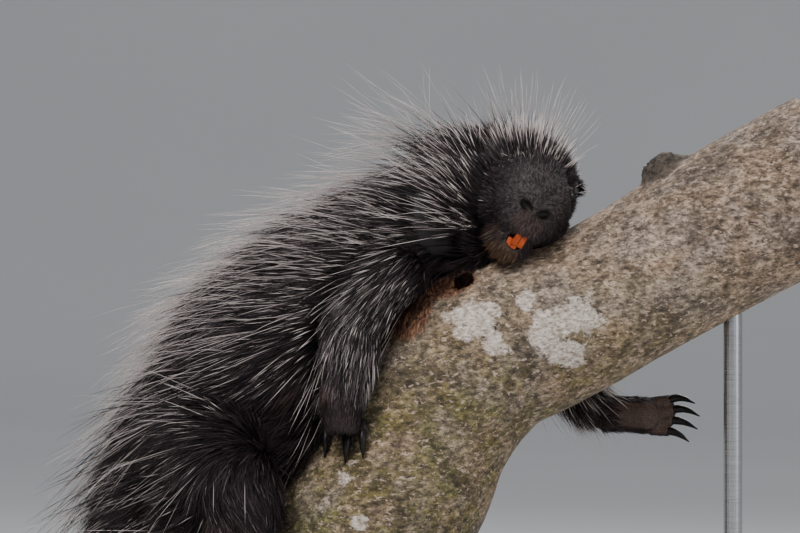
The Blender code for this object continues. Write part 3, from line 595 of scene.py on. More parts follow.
def trunkLine():
    plan = bodyPlan
    line = []
    for x, y, z, radius in spine:
        under = plan["under"]["trunk" if z > plan["tailBelow"] else "tail"]
        line.append((x, y, z, radius - under * (plan["neckShare"] if x > plan["neckPast"] else 1)))
    return line


def makeTrunk():
    under = bodyPlan["under"]
    line = trunkLine()
    pieces = [addTube("trunk", line, 32, bodyPlan["widening"])]
    pieces.append(addBall("tailTip", metres(line[-1]), [line[-1][3]] * 3))
    for middle, radii in masses:
        pieces.append(addBall("mass", metres(middle), [r - under["trunk"] for r in radii]))
    for line in legs.values():
        last = len(line) - 1
        thin = [(x, y, z, r - under["leg"] * (1 - i / last)) for i, (x, y, z, r) in enumerate(line)]
        pieces.append(addTube("leg", thin, 24))
    return fuse("trunk", pieces, bodyPlan["grain"], bodyPlan["turns"])


def makeEars(head):
    plan = headPlan["ear"]
    skin = treeOf(head)
    tall, wide, thick = plan["radii"]
    ears = []
    for side in (-1, 1):
        root = skin.find_nearest(headPlace(plan["at"], side))[0]
        opening = (leftAxis * side * 0.75 + forwardAxis * 0.65).normalized()
        rise = upAxis * 0.75 + leftAxis * side * 0.6 - forwardAxis * 0.3
        rise = (rise - opening * rise.dot(opening)).normalized()
        turn = Matrix((rise, opening.cross(rise), opening)).transposed().to_4x4()
        middle = root + rise * tall * 0.12 * mm
        ear = addBall("ear", middle, plan["radii"], turn, 32)
        inside = middle + (opening * plan["cup"] + rise * 2) * mm
        ears.append(carve(ear, addBall("cup", inside, (tall * 0.8, wide * 0.78, thick), turn, 32)))
    return ears


def makeHead():
    plan = headPlan
    pieces = [addBall("mass", headPlace(middle), radii, headTurn, 32) for middle, radii in plan["masses"]]
    nape = trunkLine()[:3]
    nape.append((*spine[3][:3], nape[2][3] - plan["napeUnder"]))
    pieces.append(addTube("nape", nape, 32, bodyPlan["widening"]))
    head = fuse("head", pieces, plan["first"]["grain"], plan["first"]["turns"])
    ears = makeEars(head)
    for name in ("mouthLine", "mouth"):
        head = carve(head, addBall("cut", headPlace(plan[name][0]), plan[name][1], headTurn, 32))
    hole = plan["nostril"]
    for side in (-1, 1):
        slant = Matrix.Rotation(-side * math.radians(hole["slant"]), 4, "X")
        head = carve(head, addBall("cut", headPlace(hole["at"], side), hole["radii"], headTurn @ slant, 24))
    return fuse("head", [head] + ears, plan["grain"], plan["turns"])


def makeEyes(head):
    # each eye is a ball deep in the head, nearly shut behind two lids that meet in a curved slit
    plan = headPlan["eye"]
    skin = treeOf(head)
    places = pointsOf(head)
    lids = plan["radius"] + plan["lid"]
    made = []
    for side, name in ((-1, "eye_right"), (1, "eye_left")):
        spot, normal, _, _ = skin.find_nearest(headPlace(plan["at"], side))
        normal = normal.normalized()
        middle = spot - normal * plan["depth"] * mm
        outward = np.array(normal)
        offset = (places - np.array(middle)) / mm
        along = offset @ outward
        across = unit(np.array(upAxis.cross(normal)))
        u, v = offset @ across, offset @ np.cross(outward, across)
        near = (np.hypot(u, v) < plan["radius"] * 1.9) & (along > -2)
        spread = np.clip(np.hypot(u / 1.25, v) / lids, 0, 1)
        rise = np.sqrt(np.maximum(lids ** 2 * (1 - spread ** 2), 0))
        bow = v + 0.035 * u ** 2 - 0.2
        slit = np.exp(-(bow / plan["slit"]) ** 2) * smoothStep(7.2, 4.2, np.abs(u))
        fold = np.exp(-((v - 5.4 + 0.05 * u ** 2) / 0.9) ** 2) * smoothStep(8, 5, np.abs(u))
        wanted = np.maximum(along, rise) - slit * plan["cut"] - fold * plan["fold"]
        places[near] += np.outer((wanted - along)[near], outward) * mm
        turn = normal.to_track_quat("Z", "Y").to_matrix().to_4x4()
        made.append((addBall(name.replace("_", "Ball_"), middle, [plan["radius"]] * 3, turn, 32), name))
    setPoints(head, places)
    return made


# feet: the sole's places on the bark and the toes as root, knuckle and claw tip, as x and z
feetPlan = {
    "forefoot_right": {"side": -1, "palm": [(-65, 338, 15), (-64, 331, 15)],
                       "toes": [((-74, 329), (-79, 319), (-86, 293)), ((-69, 327), (-73, 315), (-79, 288)),
                                ((-61, 325), (-57, 308), (-62, 284)), ((-55, 327), (-45, 312), (-47, 289))]},
    "hindfoot_right": {"side": -1, "palm": [(-165, 164, 15), (-143, 170, 15), (-121, 177, 16)],
                       "toes": [((-117, 192), (-106, 207), (-99, 222)), ((-113, 186), (-95, 198), (-84, 210)),
                                ((-111, 179), (-90, 187), (-76, 195)), ((-112, 172), (-92, 175), (-77, 179)),
                                ((-115, 165), (-99, 163), (-85, 162))]},
    "hindfoot_left": {"side": 1, "palm": [(-117, 208, 15), (-97, 216, 15), (-76, 226, 16)],
                      "toes": [((-74, 242), (-64, 256), (-58, 270)), ((-69, 237), (-52, 249), (-42, 260)),
                               ((-66, 230), (-46, 239), (-33, 247)), ((-67, 222), (-47, 227), (-33, 231)),
                               ((-70, 215), (-54, 214), (-40, 213))]},
}
# the hand that hangs free: its toes as root, knuckle, top of the claw's arch and claw tip
farHand = {
    "palm": [(158, 53, 322, 16), (176, 49, 321, 15), (194, 45, 320, 16)],
    "toes": [((200, 45, 330), (214, 42, 333), (226, 36, 335), (236, 27, 331)),
             ((201, 44, 323), (217, 41, 325), (230, 35, 325), (240, 26, 320)),
             ((201, 44, 316), (216, 41, 316), (229, 35, 314), (238, 26, 309)),
             ((199, 45, 309), (212, 42, 307), (223, 36, 304), (231, 28, 298))],
}
toePlan = {"toe": 5.2, "claw": 3.7, "clawTip": 0.45, "under": 0.5, "grain": 1.5, "turns": 5,
           # how high the toe's root, its knuckle and the claw's tip stand off the bark, and the claw's arch
           "rootUp": 8, "knuckleUp": 7, "tipUp": 1.6, "halfUp": 1.2, "archUp": 4.5}


def onBark(bark, x, z, side, off):
    start = Vector((x * mm, side * 0.5, z * mm))
    hit, normal, _, _ = bark.ray_cast(start, Vector((0, -side, 0)))
    if hit is None:
        hit = bark.find_nearest(start)[0]
        normal = Vector((0, side, 0))
    return (hit + normal * off * mm) / mm


def makeFoot(name, palm, pads, toes):
    pieces = [addTube("palm", palm)]
    pieces += [addBall("pad", metres(end), [end[3]] * 3) for end in pads]
    for line in toes:
        pieces.append(addTube("toe", line, 20))
        pieces.append(addBall("toeEnd", Vector(line[-1][:3]) * mm, [line[-1][3]] * 3))
    return fuse(name, pieces, toePlan["grain"], toePlan["turns"])


def makeFeet():
    bark = treeOf(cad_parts["limb"])
    plan = toePlan
    toe, under = plan["toe"], plan["under"]
    feet, clawLines = [], {}
    for name, foot in feetPlan.items():
        side = foot["side"]
        palm = [(*onBark(bark, x, z, side, r * 0.75), r - under) for x, z, r in foot["palm"]]
        toes = []
        for number, (root, knuckle, tip) in enumerate(foot["toes"], 1):
            start = onBark(bark, *root, side, plan["rootUp"])
            bend = onBark(bark, *knuckle, side, plan["knuckleUp"])
            end = onBark(bark, *tip, side, plan["tipUp"])
            half = start * 0.45 + bend * 0.55 + Vector((0, side * plan["halfUp"], 0))
            arch = (bend * 0.45 + end * 0.55) + Vector((0, side * plan["archUp"], 0))
            toes.append([(*start, toe + 1 - under), (*half, toe + 0.2 - under), (*bend, toe - under)])
            clawLines[f"claw_{name}_{number}"] = [bend, arch, end]
        feet.append(makeFoot(name, palm, (palm[0], palm[-1]), toes))
    palm = [(x, y, z, r - under) for x, y, z, r in farHand["palm"]]
    toes = []
    for number, (root, knuckle, arch, tip) in enumerate(farHand["toes"], 1):
        toes.append([(*root, toe + 1 - under), (*knuckle, toe - under)])
        clawLines[f"claw_forefoot_left_{number}"] = [Vector(knuckle), Vector(arch), Vector(tip)]
    feet.append(makeFoot("forefoot_left", palm, palm[-1:], toes))
    return feet, clawLines


skinNodes = ["torso", "neck", "tail", "head", "ear_right", "ear_left", "foreleg_right", "foreleg_left",
             "hindleg_right", "hindleg_left", "forefoot_right", "forefoot_left", "hindfoot_right",
             "hindfoot_left"]


def makeSkin():
    skin = makeTrunk()
    print("trunk", len(skin.data.polygons))
    head = makeHead()
    eyes = makeEyes(head)
    print("head", len(head.data.polygons))
    feet, clawLines = makeFeet()
    for piece in [head] + feet:
        skin = carve(skin, piece, "UNION")
    skin.name = "skin"
    weldMesh(skin)
    print("skin", len(skin.data.polygons))
    return skin, eyes, clawLines


skin, eyes, clawLines = makeSkin()


# claws, teeth and eyes

teethPlan = {   # forward, up and left of the middle, half sizes, and which way the cutting edge points
    "incisor_upper_right": ((64, -34.5, -0.2), (1.9, 6.6, 2.5), 1),
    "incisor_upper_left": ((64, -34.5, 5.0), (1.9, 6.6, 2.5), 1),
    "incisor_lower_right": ((61.5, -41.6, -4.2), (1.8, 5.4, 2.4), -1),
    "incisor_lower_left": ((61.5, -41.6, 0.8), (1.8, 5.4, 2.4), -1),
}
toothForm = {"chisel": 0.24, "curve": 0.012, "rounding": 0.5}


def enamelMaterial():
    material, tree, sockets = newMaterial("orange enamel", {"Roughness": 0.36, "Specular IOR Level": 0.3})
    where = objectPlace(tree)
    tone = noiseOf(tree, where, 160, 4, 0.6)
    lines = noiseOf(tree, stretched(tree, where, (4, 4, 1)), 260, 3)
    colour = ramp(tree, tone, ((0.3, (0.24, 0.024, 0.002)), (0.55, (0.38, 0.055, 0.004)),
                               (0.8, (0.5, 0.1, 0.008))))
    colour = mix(tree, ramp(tree, lines, ((0.5, 0), (0.7, 0.4))), colour, (0.36, 0.06, 0.012))
    plug(sockets["Base Color"], colour)
    addBump(tree, sockets, lines, 0.0002, 0.35)
    return material


def makeClaws():
    horn = oneNoiseFinish("black horn", {"Specular IOR Level": 0.25}, (420, 4, 0.6),
                          ((0.003, 0.0025, 0.0025), (0.012, 0.009, 0.008)), (0.26, 0.42), (0.0002, 0.5))
    wide = toePlan["claw"]
    for name, (root, arch, tip) in clawLines.items():
        start = root + (root - arch) * 0.35
        bend = (root + arch) / 2 + (arch - (root + tip) / 2) * 0.35
        line = [(*start, wide * 1.05), (*root, wide), (*bend, wide * 0.95), (*arch, wide * 0.76),
                (*tip, toePlan["clawTip"])]
        finishPiece(addTube("horn_" + name, line, 16, 1.0, 5), horn, "claw", name)


def makeTeeth():
    enamel = enamelMaterial()
    for name, (middle, (thick, tall, wide), way) in teethPlan.items():
        deselectAll()
        bpy.ops.mesh.primitive_cube_add(size=2)
        tooth = bpy.context.object
        tooth.name = "tooth_" + name
        bpy.ops.object.mode_set(mode="EDIT")
        bpy.ops.mesh.select_all(action="SELECT")
        bpy.ops.mesh.subdivide(number_cuts=3)
        bpy.ops.object.mode_set(mode="OBJECT")
        places = pointsOf(tooth)
        edge = places[:, 1] * way < 0   # the chisel edge is worn back behind
        places[:, 1] += np.where(edge & (places[:, 0] < 0), way * toothForm["chisel"] * -places[:, 0], 0)
        places *= (thick, tall, wide)
        places[:, 0] -= toothForm["curve"] * (places[:, 1] * way - tall) ** 2
        setPoints(tooth, places)
        tooth.data.transform(Matrix.Translation(headPlace(middle)) @ headTurn @ Matrix.Scale(mm, 4))
        tooth.data.flip_normals()
        addStep(tooth, "BEVEL", width=toothForm["rounding"] * mm, segments=2, limit_method="ANGLE")
        applyAll(tooth)
        finishPiece(tooth, enamel, "enamel", name)


def paintEyes():
    shine = {"Roughness": 0.08, "Coat Weight": 1.0, "Coat Roughness": 0.03}
    wet = oneNoiseFinish("dark eye", shine, (500, 3), ((0.006, 0.004, 0.003), (0.022, 0.014, 0.01)))
    for ball, name in eyes:
        finishPiece(ball, wet, "eye", name)


makeClaws()
makeTeeth()
paintEyes()
print("claws, teeth and eyes")


# the lie, length and markings of the coat, as fields over the body, in millimetres

# at these places along X and Z the trunk's hair points this way along X and Z
trunkLie = [(60, 520, -0.55, 0.8), (10, 500, -0.9, 0.34), (-40, 470, -0.98, 0.08), (-100, 410, -1, -0.04),
            (-110, 350, -0.9, -0.38), (-160, 340, -0.97, -0.16), (-150, 280, -0.98, -0.1),
            (-170, 230, -0.9, -0.4), (-215, 280, -0.94, -0.32), (-250, 210, -0.78, -0.62), (-240, 110, 0, -1)]
hanging = {"y": (30, 54), "x": (-80, -40), "way": (0.3, 0.04, -1.0)}   # the far flank's hair
footLines = {
    "nearHand": [(-65, -78, 332, 15), (-65, -80, 318, 16), (-68, -84, 300, 8)],
    "farHand": [(158, 53, 322, 16), (176, 49, 321, 15), (194, 45, 320, 16), (226, 36, 320, 12)],
    "nearSole": [(-165, -66, 164, 15), (-143, -76, 170, 15), (-121, -84, 177, 16), (-91, -86, 192, 9)],
    "farSole": [(-117, 78, 208, 15), (-97, 82, 216, 15), (-76, 86, 226, 16), (-48, 84, 238, 9)],
}
# soft-edged places: middle and radii along X, Y and Z, or forward, up and left of the head's middle
spots = {"groin": ((-112, -60, 302), (48, 80, 62)), "chest": ((30, -34, 450), (46, 60, 26)),
         "armpit": ((6, -66, 424), (30, 40, 24)), "wrist": ((-88, -76, 352), (18, 34, 13)),
         "knee": ((-162, -92, 246), (14, 30, 8))}
headSpots = {"chin": ((58, -49, -3), (13, 8, 15)), "lip": ((50, -40, -15), (14, 9, 7)),
             "muzzle": ((66, -19, 0), (14, 12, 13)), "ear": ((-22, 24, -46), (22, 20, 18))}
noseTip = (66, -6, 0)
# the share of pale hairs in each part, less low down, and almost none in the groin and on the chest: there
# the coat is kept black, partly as its own dark belly fur and partly as painted shade
palePlan = {"trunk": 0.3, "low": 0.16, "neck": 0.4, "tail": 0.16, "fore": 0.34, "hind": 0.05, "head": 0.03,
            "crown": 0.52, "darkFurAndShade": 0.97}


def alongLine(places, line, widening=1.0):
    # distance from the tube's surface, the way along it, and the share of its length
    best = np.full(len(places), 1e9)
    ways = np.zeros((len(places), 3))
    shares = np.zeros(len(places))
    flat = places / mm * np.array((1, 1 / widening, 1))
    stations = np.array(line, float) * np.array((1, 1 / widening, 1, 1))
    for i, (a, b) in enumerate(zip(stations, stations[1:])):
        step = b[:3] - a[:3]
        t = np.clip((flat - a[:3]) @ step / (step @ step), 0, 1)
        away = np.linalg.norm(flat - a[:3] - t[:, None] * step, axis=1) - (a[3] + (b[3] - a[3]) * t)
        nearer = away < best
        best[nearer] = away[nearer]
        ways[nearer] = step / np.linalg.norm(step)
        shares[nearer] = (i + t[nearer]) / (len(line) - 1)
    return best, ways, shares


def trunkWays(places):
    table = np.array(trunkLie)
    gap = np.linalg.norm(places[:, None, [0, 2]] / mm - table[None, :, :2], axis=2)
    ways = np.insert(table[:, 2:], 1, 0, axis=1)
    return unit(((1 / (gap ** 2 + 150))[:, :, None] * ways[None]).sum(axis=1))


def bodyFields(places, normals):
    # for each place: the lie of the hair, and how much it belongs to each part of the body
    x, y, z = (places / mm).T
    side = smoothStep(*hanging["y"], y) * smoothStep(*hanging["x"], x)
    hang = np.array(hanging["way"])
    offset = headOffset(places)
    away = {"trunk": alongLine(places, spine[2:], bodyPlan["widening"])[0],
            "head": awayFrom(offset, (6, -8, 0), (58, 46, 47)) * 48 - 48}
    wayOf = {"trunk": unit(trunkWays(places) * (1 - side[:, None]) + hang * side[:, None]),
             "head": unit(places - np.array(headPlace(noseTip)))}
    for name, line in legs.items():
        gap, way, share = alongLine(places, line)
        if name == "foreLeft":
            way = unit(way + hang * 1.3 * (1 - share[:, None] * 0.6))
        late, last = (0.45, 0.85) if "hind" in name else (0.0, 0.35)   # the haunch lies as the trunk does
        away[name] = gap + (34 if "hind" in name else 5) * (1 - smoothStep(late, last, share))
        wayOf[name] = way
    for name, line in footLines.items():
        gap, wayOf[name], _ = alongLine(places, line)
        away[name] = gap - 6
    weights = np.exp(-np.stack(list(away.values()), axis=1) / 5.0)
    weights /= weights.sum(axis=1, keepdims=True)
    weight = dict(zip(away, weights.T))
    lie = sum(wayOf[name] * weight[name][:, None] for name in away)
    lie -= normals * (lie * normals).sum(axis=1, keepdims=True)
    tail = smoothStep(232, 205, z) * (x < -195)
    neck = smoothStep(-50, 10, x) * smoothStep(455, 485, z)
    reach = np.linalg.norm(offset - noseTip, axis=1)
    above, aside = offset[:, 1], offset[:, 2]
    crown = smoothStep(4, 34, above) * smoothStep(38, 58, reach) * (1 - 0.62 * smoothStep(-8, 30, aside))
    fields = {name: softSpot(places / mm, *spot) for name, spot in spots.items()}
    fields.update({
        "lie": unit(lie), "offset": offset, "reach": reach, "crown": crown, "head": weight["head"],
        "eyeAway": np.min([np.linalg.norm(places - centre, axis=1) for centre in eyeCentres], axis=0) / mm,
        "farEar": smoothStep(22, 34, aside) * smoothStep(-14, 0, above),
        "foot": sum(weight[name] for name in footLines), "farArm": weight["foreLeft"],
        "fore": weight["foreRight"] + weight["foreLeft"], "hind": weight["hindRight"] + weight["hindLeft"],
        "tail": weight["trunk"] * tail, "neck": weight["trunk"] * neck * (1 - tail),
        "trunk": weight["trunk"] * (1 - neck) * (1 - tail),
    })
    return fields


def markings(places, normals, fields):
    # colours that skin and coat share, as shares of grey-brown face, tan lip, and brown ear and bare skin
    offset, head, foot = fields["offset"], fields["head"], fields["foot"]
    spot = {name: softSpot(offset, *place) for name, place in headSpots.items()}
    face = head * (1 - smoothStep(34, 60, fields["reach"]))
    face = face * (0.25 + 0.75 * smoothStep(-26, 4, offset[:, 1]))
    face *= (1 - smoothStep(16, 34, np.abs(offset[:, 2]))) * smoothStep(8, 17, fields["eyeAway"])
    tan = spot["chin"] + 0.3 * spot["lip"]
    brown = head * (0.75 * spot["muzzle"] + 0.6 * spot["ear"])
    palm = foot * smoothStep(160, 176, places[:, 0] / mm) * smoothStep(0.5, 0.8, -normals[:, 1])
    patches = np.maximum.reduce([fields["wrist"] * 0.95, fields["knee"] * 0.6, foot * 0.3])
    return np.stack([face, np.clip(tan, 0, 1), np.maximum.reduce([brown, palm, patches])], axis=1), palm


def paleShare(places, fields):
    plan = palePlan
    low = smoothStep(440, 340, places[:, 2] / mm)
    share = fields["trunk"] * (plan["trunk"] - plan["low"] * low)
    share = share + fields["neck"] * plan["neck"] + fields["tail"] * plan["tail"]
    share += (fields["fore"] * plan["fore"] + fields["hind"] * plan["hind"]
              + fields["head"] * (plan["head"] + plan["crown"] * fields["crown"]))
    # the groin and the chest lose nearly all pale hairs: painted shade, over fur that is dark of its own
    return np.clip(share * (1 - plan["darkFurAndShade"] * np.maximum(fields["groin"], fields["chest"])), 0, 1)


# the coat: thousands of fine tapering tufts in joined meshes

coatParts = ("trunk", "neck", "tail", "fore", "hind", "foot", "face", "cheek", "crown")
coatPlan = {
    # millimetres: the width, the shortest one kept, and the lengths by part, in the order of coatParts
    # stand is off the skin, and every so many tufts draw together in a bunch
    "under": {"count": 130000, "width": 1.15, "corners": 2, "rings": ((0.0, 0.8), (0.5, 1.0)), "stand": 0.3,
              "bow": 0.2, "bunch": 12, "shortest": 1.5, "length": (25, 24, 20, 15, 22, 2.8, 2.5, 15, 12)},
    "over": {"count": 150000, "width": 0.62, "corners": 2, "rings": ((0.0, 1.0), (0.5, 0.85)), "stand": 0.32,
             "bow": 0.17, "bunch": 5, "shortest": 1.5, "length": (40, 38, 30, 23, 30, 3.4, 3.5, 21, 17)},
    "quills": {"count": 9000, "width": 0.92, "corners": 3, "rings": ((0.0, 0.7), (0.6, 1.0)), "stand": 0.4,
               "bow": 0.06, "bunch": 0, "shortest": 9, "length": (31, 33, 31, 21, 28, 4, 2, 17, 32)},
    "guard": {"count": 3400, "width": 0.62, "corners": 3, "rings": ((0.0, 1.0), (0.35, 0.95), (0.75, 0.65)),
              "stand": 0.4, "bow": 0.16, "bunch": 0, "shortest": 9,
              "length": (98, 118, 46, 36, 40, 5, 2, 26, 74)},
    "velvet": {"count": 60000, "width": 0.62, "corners": 2, "rings": ((0.0, 1.0), (0.55, 0.8)), "stand": 0.45,
               "bow": 0.3, "bunch": 9, "shortest": 1.5, "length": (0, 0, 0, 0, 0, 2.8, 3.6, 9, 8.5)},
}
coatRules = {
    "seed": 41, "uvPatch": 0.003, "mostTriangles": 190000, "sink": 1.2, "draw": 0.38,
    "past": {"share": 0.02, "plus": 0.006},   # how far hair may stand past the solids' box
    "bark": {"near": 0.004, "reach": 0.06, "least": 0.0012, "clear": 0.0018},
}


def unwrapSkin():
    pickOnly(skin)
    bpy.ops.object.mode_set(mode="EDIT")
    bpy.ops.mesh.select_all(action="SELECT")
    bpy.ops.mesh.quads_convert_to_tris()
    bpy.ops.uv.smart_project(angle_limit=math.radians(66), island_margin=0.001)
    bpy.ops.object.mode_set(mode="OBJECT")


def pickRoots(rng, count, weights, ground):
    faces, uvs, places, normals = ground
    corners = places[faces]
    area = np.linalg.norm(np.cross(corners[:, 1] - corners[:, 0], corners[:, 2] - corners[:, 0]), axis=1)
    chance = area * weights[faces].mean(axis=1)
    chosen = rng.choice(len(faces), count, p=chance / chance.sum())
    u, v = np.sqrt(rng.random(count)), rng.random(count)
    share = np.stack([1 - u, u * (1 - v), u * v], axis=1)[:, :, None]
    facing = unit((normals[faces[chosen]] * share).sum(axis=1))
    return (corners[chosen] * share).sum(axis=1), facing, (uvs[chosen] * share).sum(axis=1)


def hairLength(kind, fields):
    plan = dict(zip(coatParts, coatPlan[kind]["length"]))
    length = sum(fields[part] * plan[part] for part in coatParts[:6])
    onHead = plan["face"] + (plan["cheek"] - plan["face"]) * smoothStep(26, 68, fields["reach"])
    length += fields["head"] * (onHead + (plan["crown"] - onHead) * fields["crown"])
    length *= 1 - 0.75 * (1 - smoothStep(8, 20, fields["eyeAway"]))
    length *= 1 - 0.5 * fields["armpit"] - 0.45 * fields["head"] * fields["farEar"]
    if kind != "velvet":
        length *= 1 + fields["farArm"] * 0.6
    return length


def bunchPull(roots, tips, every):
    # each tuft's tip leans towards the tip of the nearest of the bunches
    if not every:
        return np.zeros_like(tips), np.arange(len(roots))
    heads = np.arange(0, len(roots), every)
    tree = KDTree(len(heads))
    for number, i in enumerate(heads):
        tree.insert(roots[i], number)
    tree.balance()
    mine = np.array([tree.find(root)[1] for root in roots])
    return (tips[heads[mine]] - tips) * coatRules["draw"], mine


def clearOfBark(tips, bark):
    # how far each tip has to move to lie on the bark and not in it
    rule = coatRules["bark"]
    shift = np.zeros_like(tips)
    low, high = limbBox
    for i in np.nonzero(np.all((tips > low - rule["near"]) & (tips < high + rule["near"]), axis=1))[0]:
        spot, normal, _, _ = bark.find_nearest(tips[i], rule["reach"])
        if spot is None:
            continue
        rise = (Vector(tips[i]) - spot).dot(normal)
        if rise < rule["least"]:
            shift[i] = normal * (rule["clear"] - rise)
    return shift


def insideBox(roots, tips):
    # the share of its length that keeps a tip near the solids' box
    low, high = np.array(cadBox)
    past = (high - low) * coatRules["past"]["share"] + coatRules["past"]["plus"]
    step = tips - roots
    room = np.where(step > 0, high + past - roots, low - past - roots)
    return np.clip((room / np.where(np.abs(step) < 1e-6, 1e-6, step)).min(axis=1), 0.2, 1)


def growKind(kind, rng, ground, weights, bark, material):
    plan = coatPlan[kind]
    roots, facing, spot = pickRoots(rng, plan["count"] // (1), weights, ground)
    fields = bodyFields(roots, facing)
    marks, bare = markings(roots, facing, fields)
    length = hairLength(kind, fields) * rng.uniform(0.68, 1.15, len(roots))
    keep = (length > plan["shortest"]) & (bare < 0.5)
    roots, facing, spot, marks, length = roots[keep], facing[keep], spot[keep], marks[keep], length[keep]
    fields = {name: value[keep] for name, value in fields.items()}
    count = len(roots)
    ease = 1 - 0.4 * fields["fore"] - 0.3 * fields["hind"] - 0.45 * fields["foot"] + 0.15 * fields["neck"]
    ease += fields["head"] * (2.2 * fields["crown"] * (1 - 0.6 * fields["farEar"])
                              + 1.5 * smoothStep(20, 40, fields["offset"][:, 2]) * (1 - fields["farEar"]))
    stand = plan["stand"] * ease * rng.uniform(0.5, 1.5, count)
    ways = unit(fields["lie"] + facing * stand[:, None] + rng.normal(0, 0.1, (count, 3)))
    bow = plan["bow"] * rng.uniform(0.3, 1.6, count) * (1 - 0.6 * fields["crown"])
    drop = (facing * 0.6 + np.array((0, 0, 0.5)) - rng.normal(0, 0.4, (count, 3))) * bow[:, None]
    length = length * insideBox(roots, roots + (ways - drop) * length[:, None] * mm)
    reach = length[:, None] * mm
    tips = roots + (ways - drop) * reach
    pull, bunch = bunchPull(roots, tips, plan["bunch"])
    pull *= 1 - fields["foot"][:, None]
    pull += clearOfBark(tips + pull, bark)
    side = unit(np.cross(ways, facing))
    ridge = np.cross(side, ways)
    if plan["corners"] == 2:   # flat blades are rolled a little, each its own way
        roll = rng.normal(0, 0.55, count)[:, None]
        side, ridge = side * np.cos(roll) + ridge * np.sin(roll), ridge * np.cos(roll) - side * np.sin(roll)
    pale = paleShare(roots, fields)
    # the over hairs that get a half light stand partly for painted sheen on the dark coat and partly for its
    # real pale hairs
    paleOver = pale * (0.45 + 0.5 * fields["fore"])
    light = {"under": np.zeros(count), "velvet": np.zeros(count),
             "over": (rng.random(count) < paleOver) * rng.uniform(0.1, 0.6, count),
             "quills": (pale > rng.uniform(0.02, 0.34, count)) * rng.uniform(0.8, 1.0, count),
             "guard": (rng.random(count) < 0.02 + 4 * pale) * rng.uniform(0.75, 1.0, count)}[kind]
    tone = 0.6 * rng.random(count) + 0.4 * rng.random(count)[bunch % count]
    width = plan["width"] * mm * rng.uniform(0.75, 1.2, count) / 2 * np.clip(length / 12, 0.5, 1)
    corners, rings = plan["corners"], plan["rings"]
    turns = [0, math.pi] if corners == 2 else [math.pi / 2, math.pi * 7 / 6, math.pi * 11 / 6]
    sink = coatRules["sink"] * mm
    verts, along, patch = [], [], []
    for share, size in (*rings, (1.0, 0.0)):
        middle = roots + ways * ((reach + sink) * share - sink) + (pull - drop * reach) * share ** 2
        for number, turn in enumerate(turns if size else [0.0]):
            verts.append(middle + (side * math.cos(turn) + ridge * math.sin(turn)) * (width * size)[:, None])
            along.append(share)
            patch.append((number / 3, share))
    verts = np.stack(verts, axis=1)
    layers, around = len(rings), corners if corners > 2 else 1
    pairs = [(j, (j + 1) % corners) for j in range(around)]
    quads = [(k * corners + a, k * corners + b, (k + 1) * corners + b, (k + 1) * corners + a)
             for k in range(layers - 1) for a, b in pairs]
    last = (layers - 1) * corners
    tops = [(last + a, last + b, layers * corners) for a, b in pairs]
    each = len(quads) * 2 + len(tops)
    most = coatRules["mostTriangles"] // each
    for number, start in enumerate(range(0, count, most), 1):
        part = slice(start, start + most)
        uv = spot[part][:, None] + np.array(patch)[None] * coatRules["uvPatch"]
        strand = np.broadcast_arrays(np.array(along)[None], tone[part, None], light[part, None])
        mark = np.repeat(marks[part][:, None], len(along), axis=1)
        colours = {"strand": np.stack(strand, axis=2), "marks": mark}
        tufts = tuftMesh(f"coat_{kind}_{number}", verts[part], quads + tops, uv, colours)
        finishPiece(tufts, material, "coat")
    print(kind, count, "tufts", count * each, "triangles")


def tuftMesh(name, verts, faces, uv, layers):
    # one mesh of many like tufts, with its colours by vertex and its map by corner
    count, each = verts.shape[:2]
    mesh = bpy.data.meshes.new(name)
    loops = ((np.arange(count) * each)[:, None] + np.array([i for face in faces for i in face])[None]).ravel()
    sizes = np.tile([len(face) for face in faces], count)
    mesh.vertices.add(count * each)
    mesh.vertices.foreach_set("co", verts.astype(np.float32).ravel())
    mesh.loops.add(len(loops))
    mesh.loops.foreach_set("vertex_index", loops.astype(np.int32))
    mesh.polygons.add(len(sizes))
    mesh.polygons.foreach_set("loop_start", np.concatenate([[0], np.cumsum(sizes)[:-1]]).astype(np.int32))
    mesh.polygons.foreach_set("loop_total", sizes.astype(np.int32))
    mesh.update(calc_edges=True)
    for layer, values in layers.items():
        addColours(mesh, layer, values.reshape(-1, 3))
    corners = uv.reshape(-1, 2)[loops].astype(np.float32)
    mesh.uv_layers.new(name="OFBake").data.foreach_set("uv", corners.ravel())
    return intoScene(name, mesh)


# colours along a hair, and by how light it is among its neighbours; the dark hair's lighter mauve tip and the
# lightest tones are painted sheen as well as the hair's own colour
coatColours = {
    "dark": ((0.0, (0.004, 0.003, 0.003)), (0.6, (0.015, 0.011, 0.012)), (1.0, (0.038, 0.029, 0.032))),
    "toneAndSheen": ((0.0, 0.4), (0.55, 1.0), (0.78, (2.2, 2.0, 2.1)), (1.0, (6.0, 5.2, 5.4))),
    "pale": ((0.0, (0.012, 0.009, 0.009)), (0.34, (0.035, 0.028, 0.027)), (0.5, (0.6, 0.51, 0.48)),
             (1.0, (0.9, 0.82, 0.76))),
    "face": ((0.2, (0.009, 0.007, 0.008)), (0.5, (0.036, 0.029, 0.031)), (0.85, (0.16, 0.126, 0.12))),
    "tan": ((0.2, (0.018, 0.01, 0.007)), (0.85, (0.15, 0.088, 0.052))),
    "brown": ((0.2, (0.018, 0.012, 0.011)), (0.85, (0.165, 0.112, 0.098))),
    "sole": ((0.35, (0.022, 0.012, 0.009)), (0.65, (0.1, 0.058, 0.04))),
    # hollow is a painted shade colour for the nostrils, the mouth and the eye slit
    "dull": (0.25, 0.2, 0.2), "hollow": (0.01, 0.006, 0.005),
}


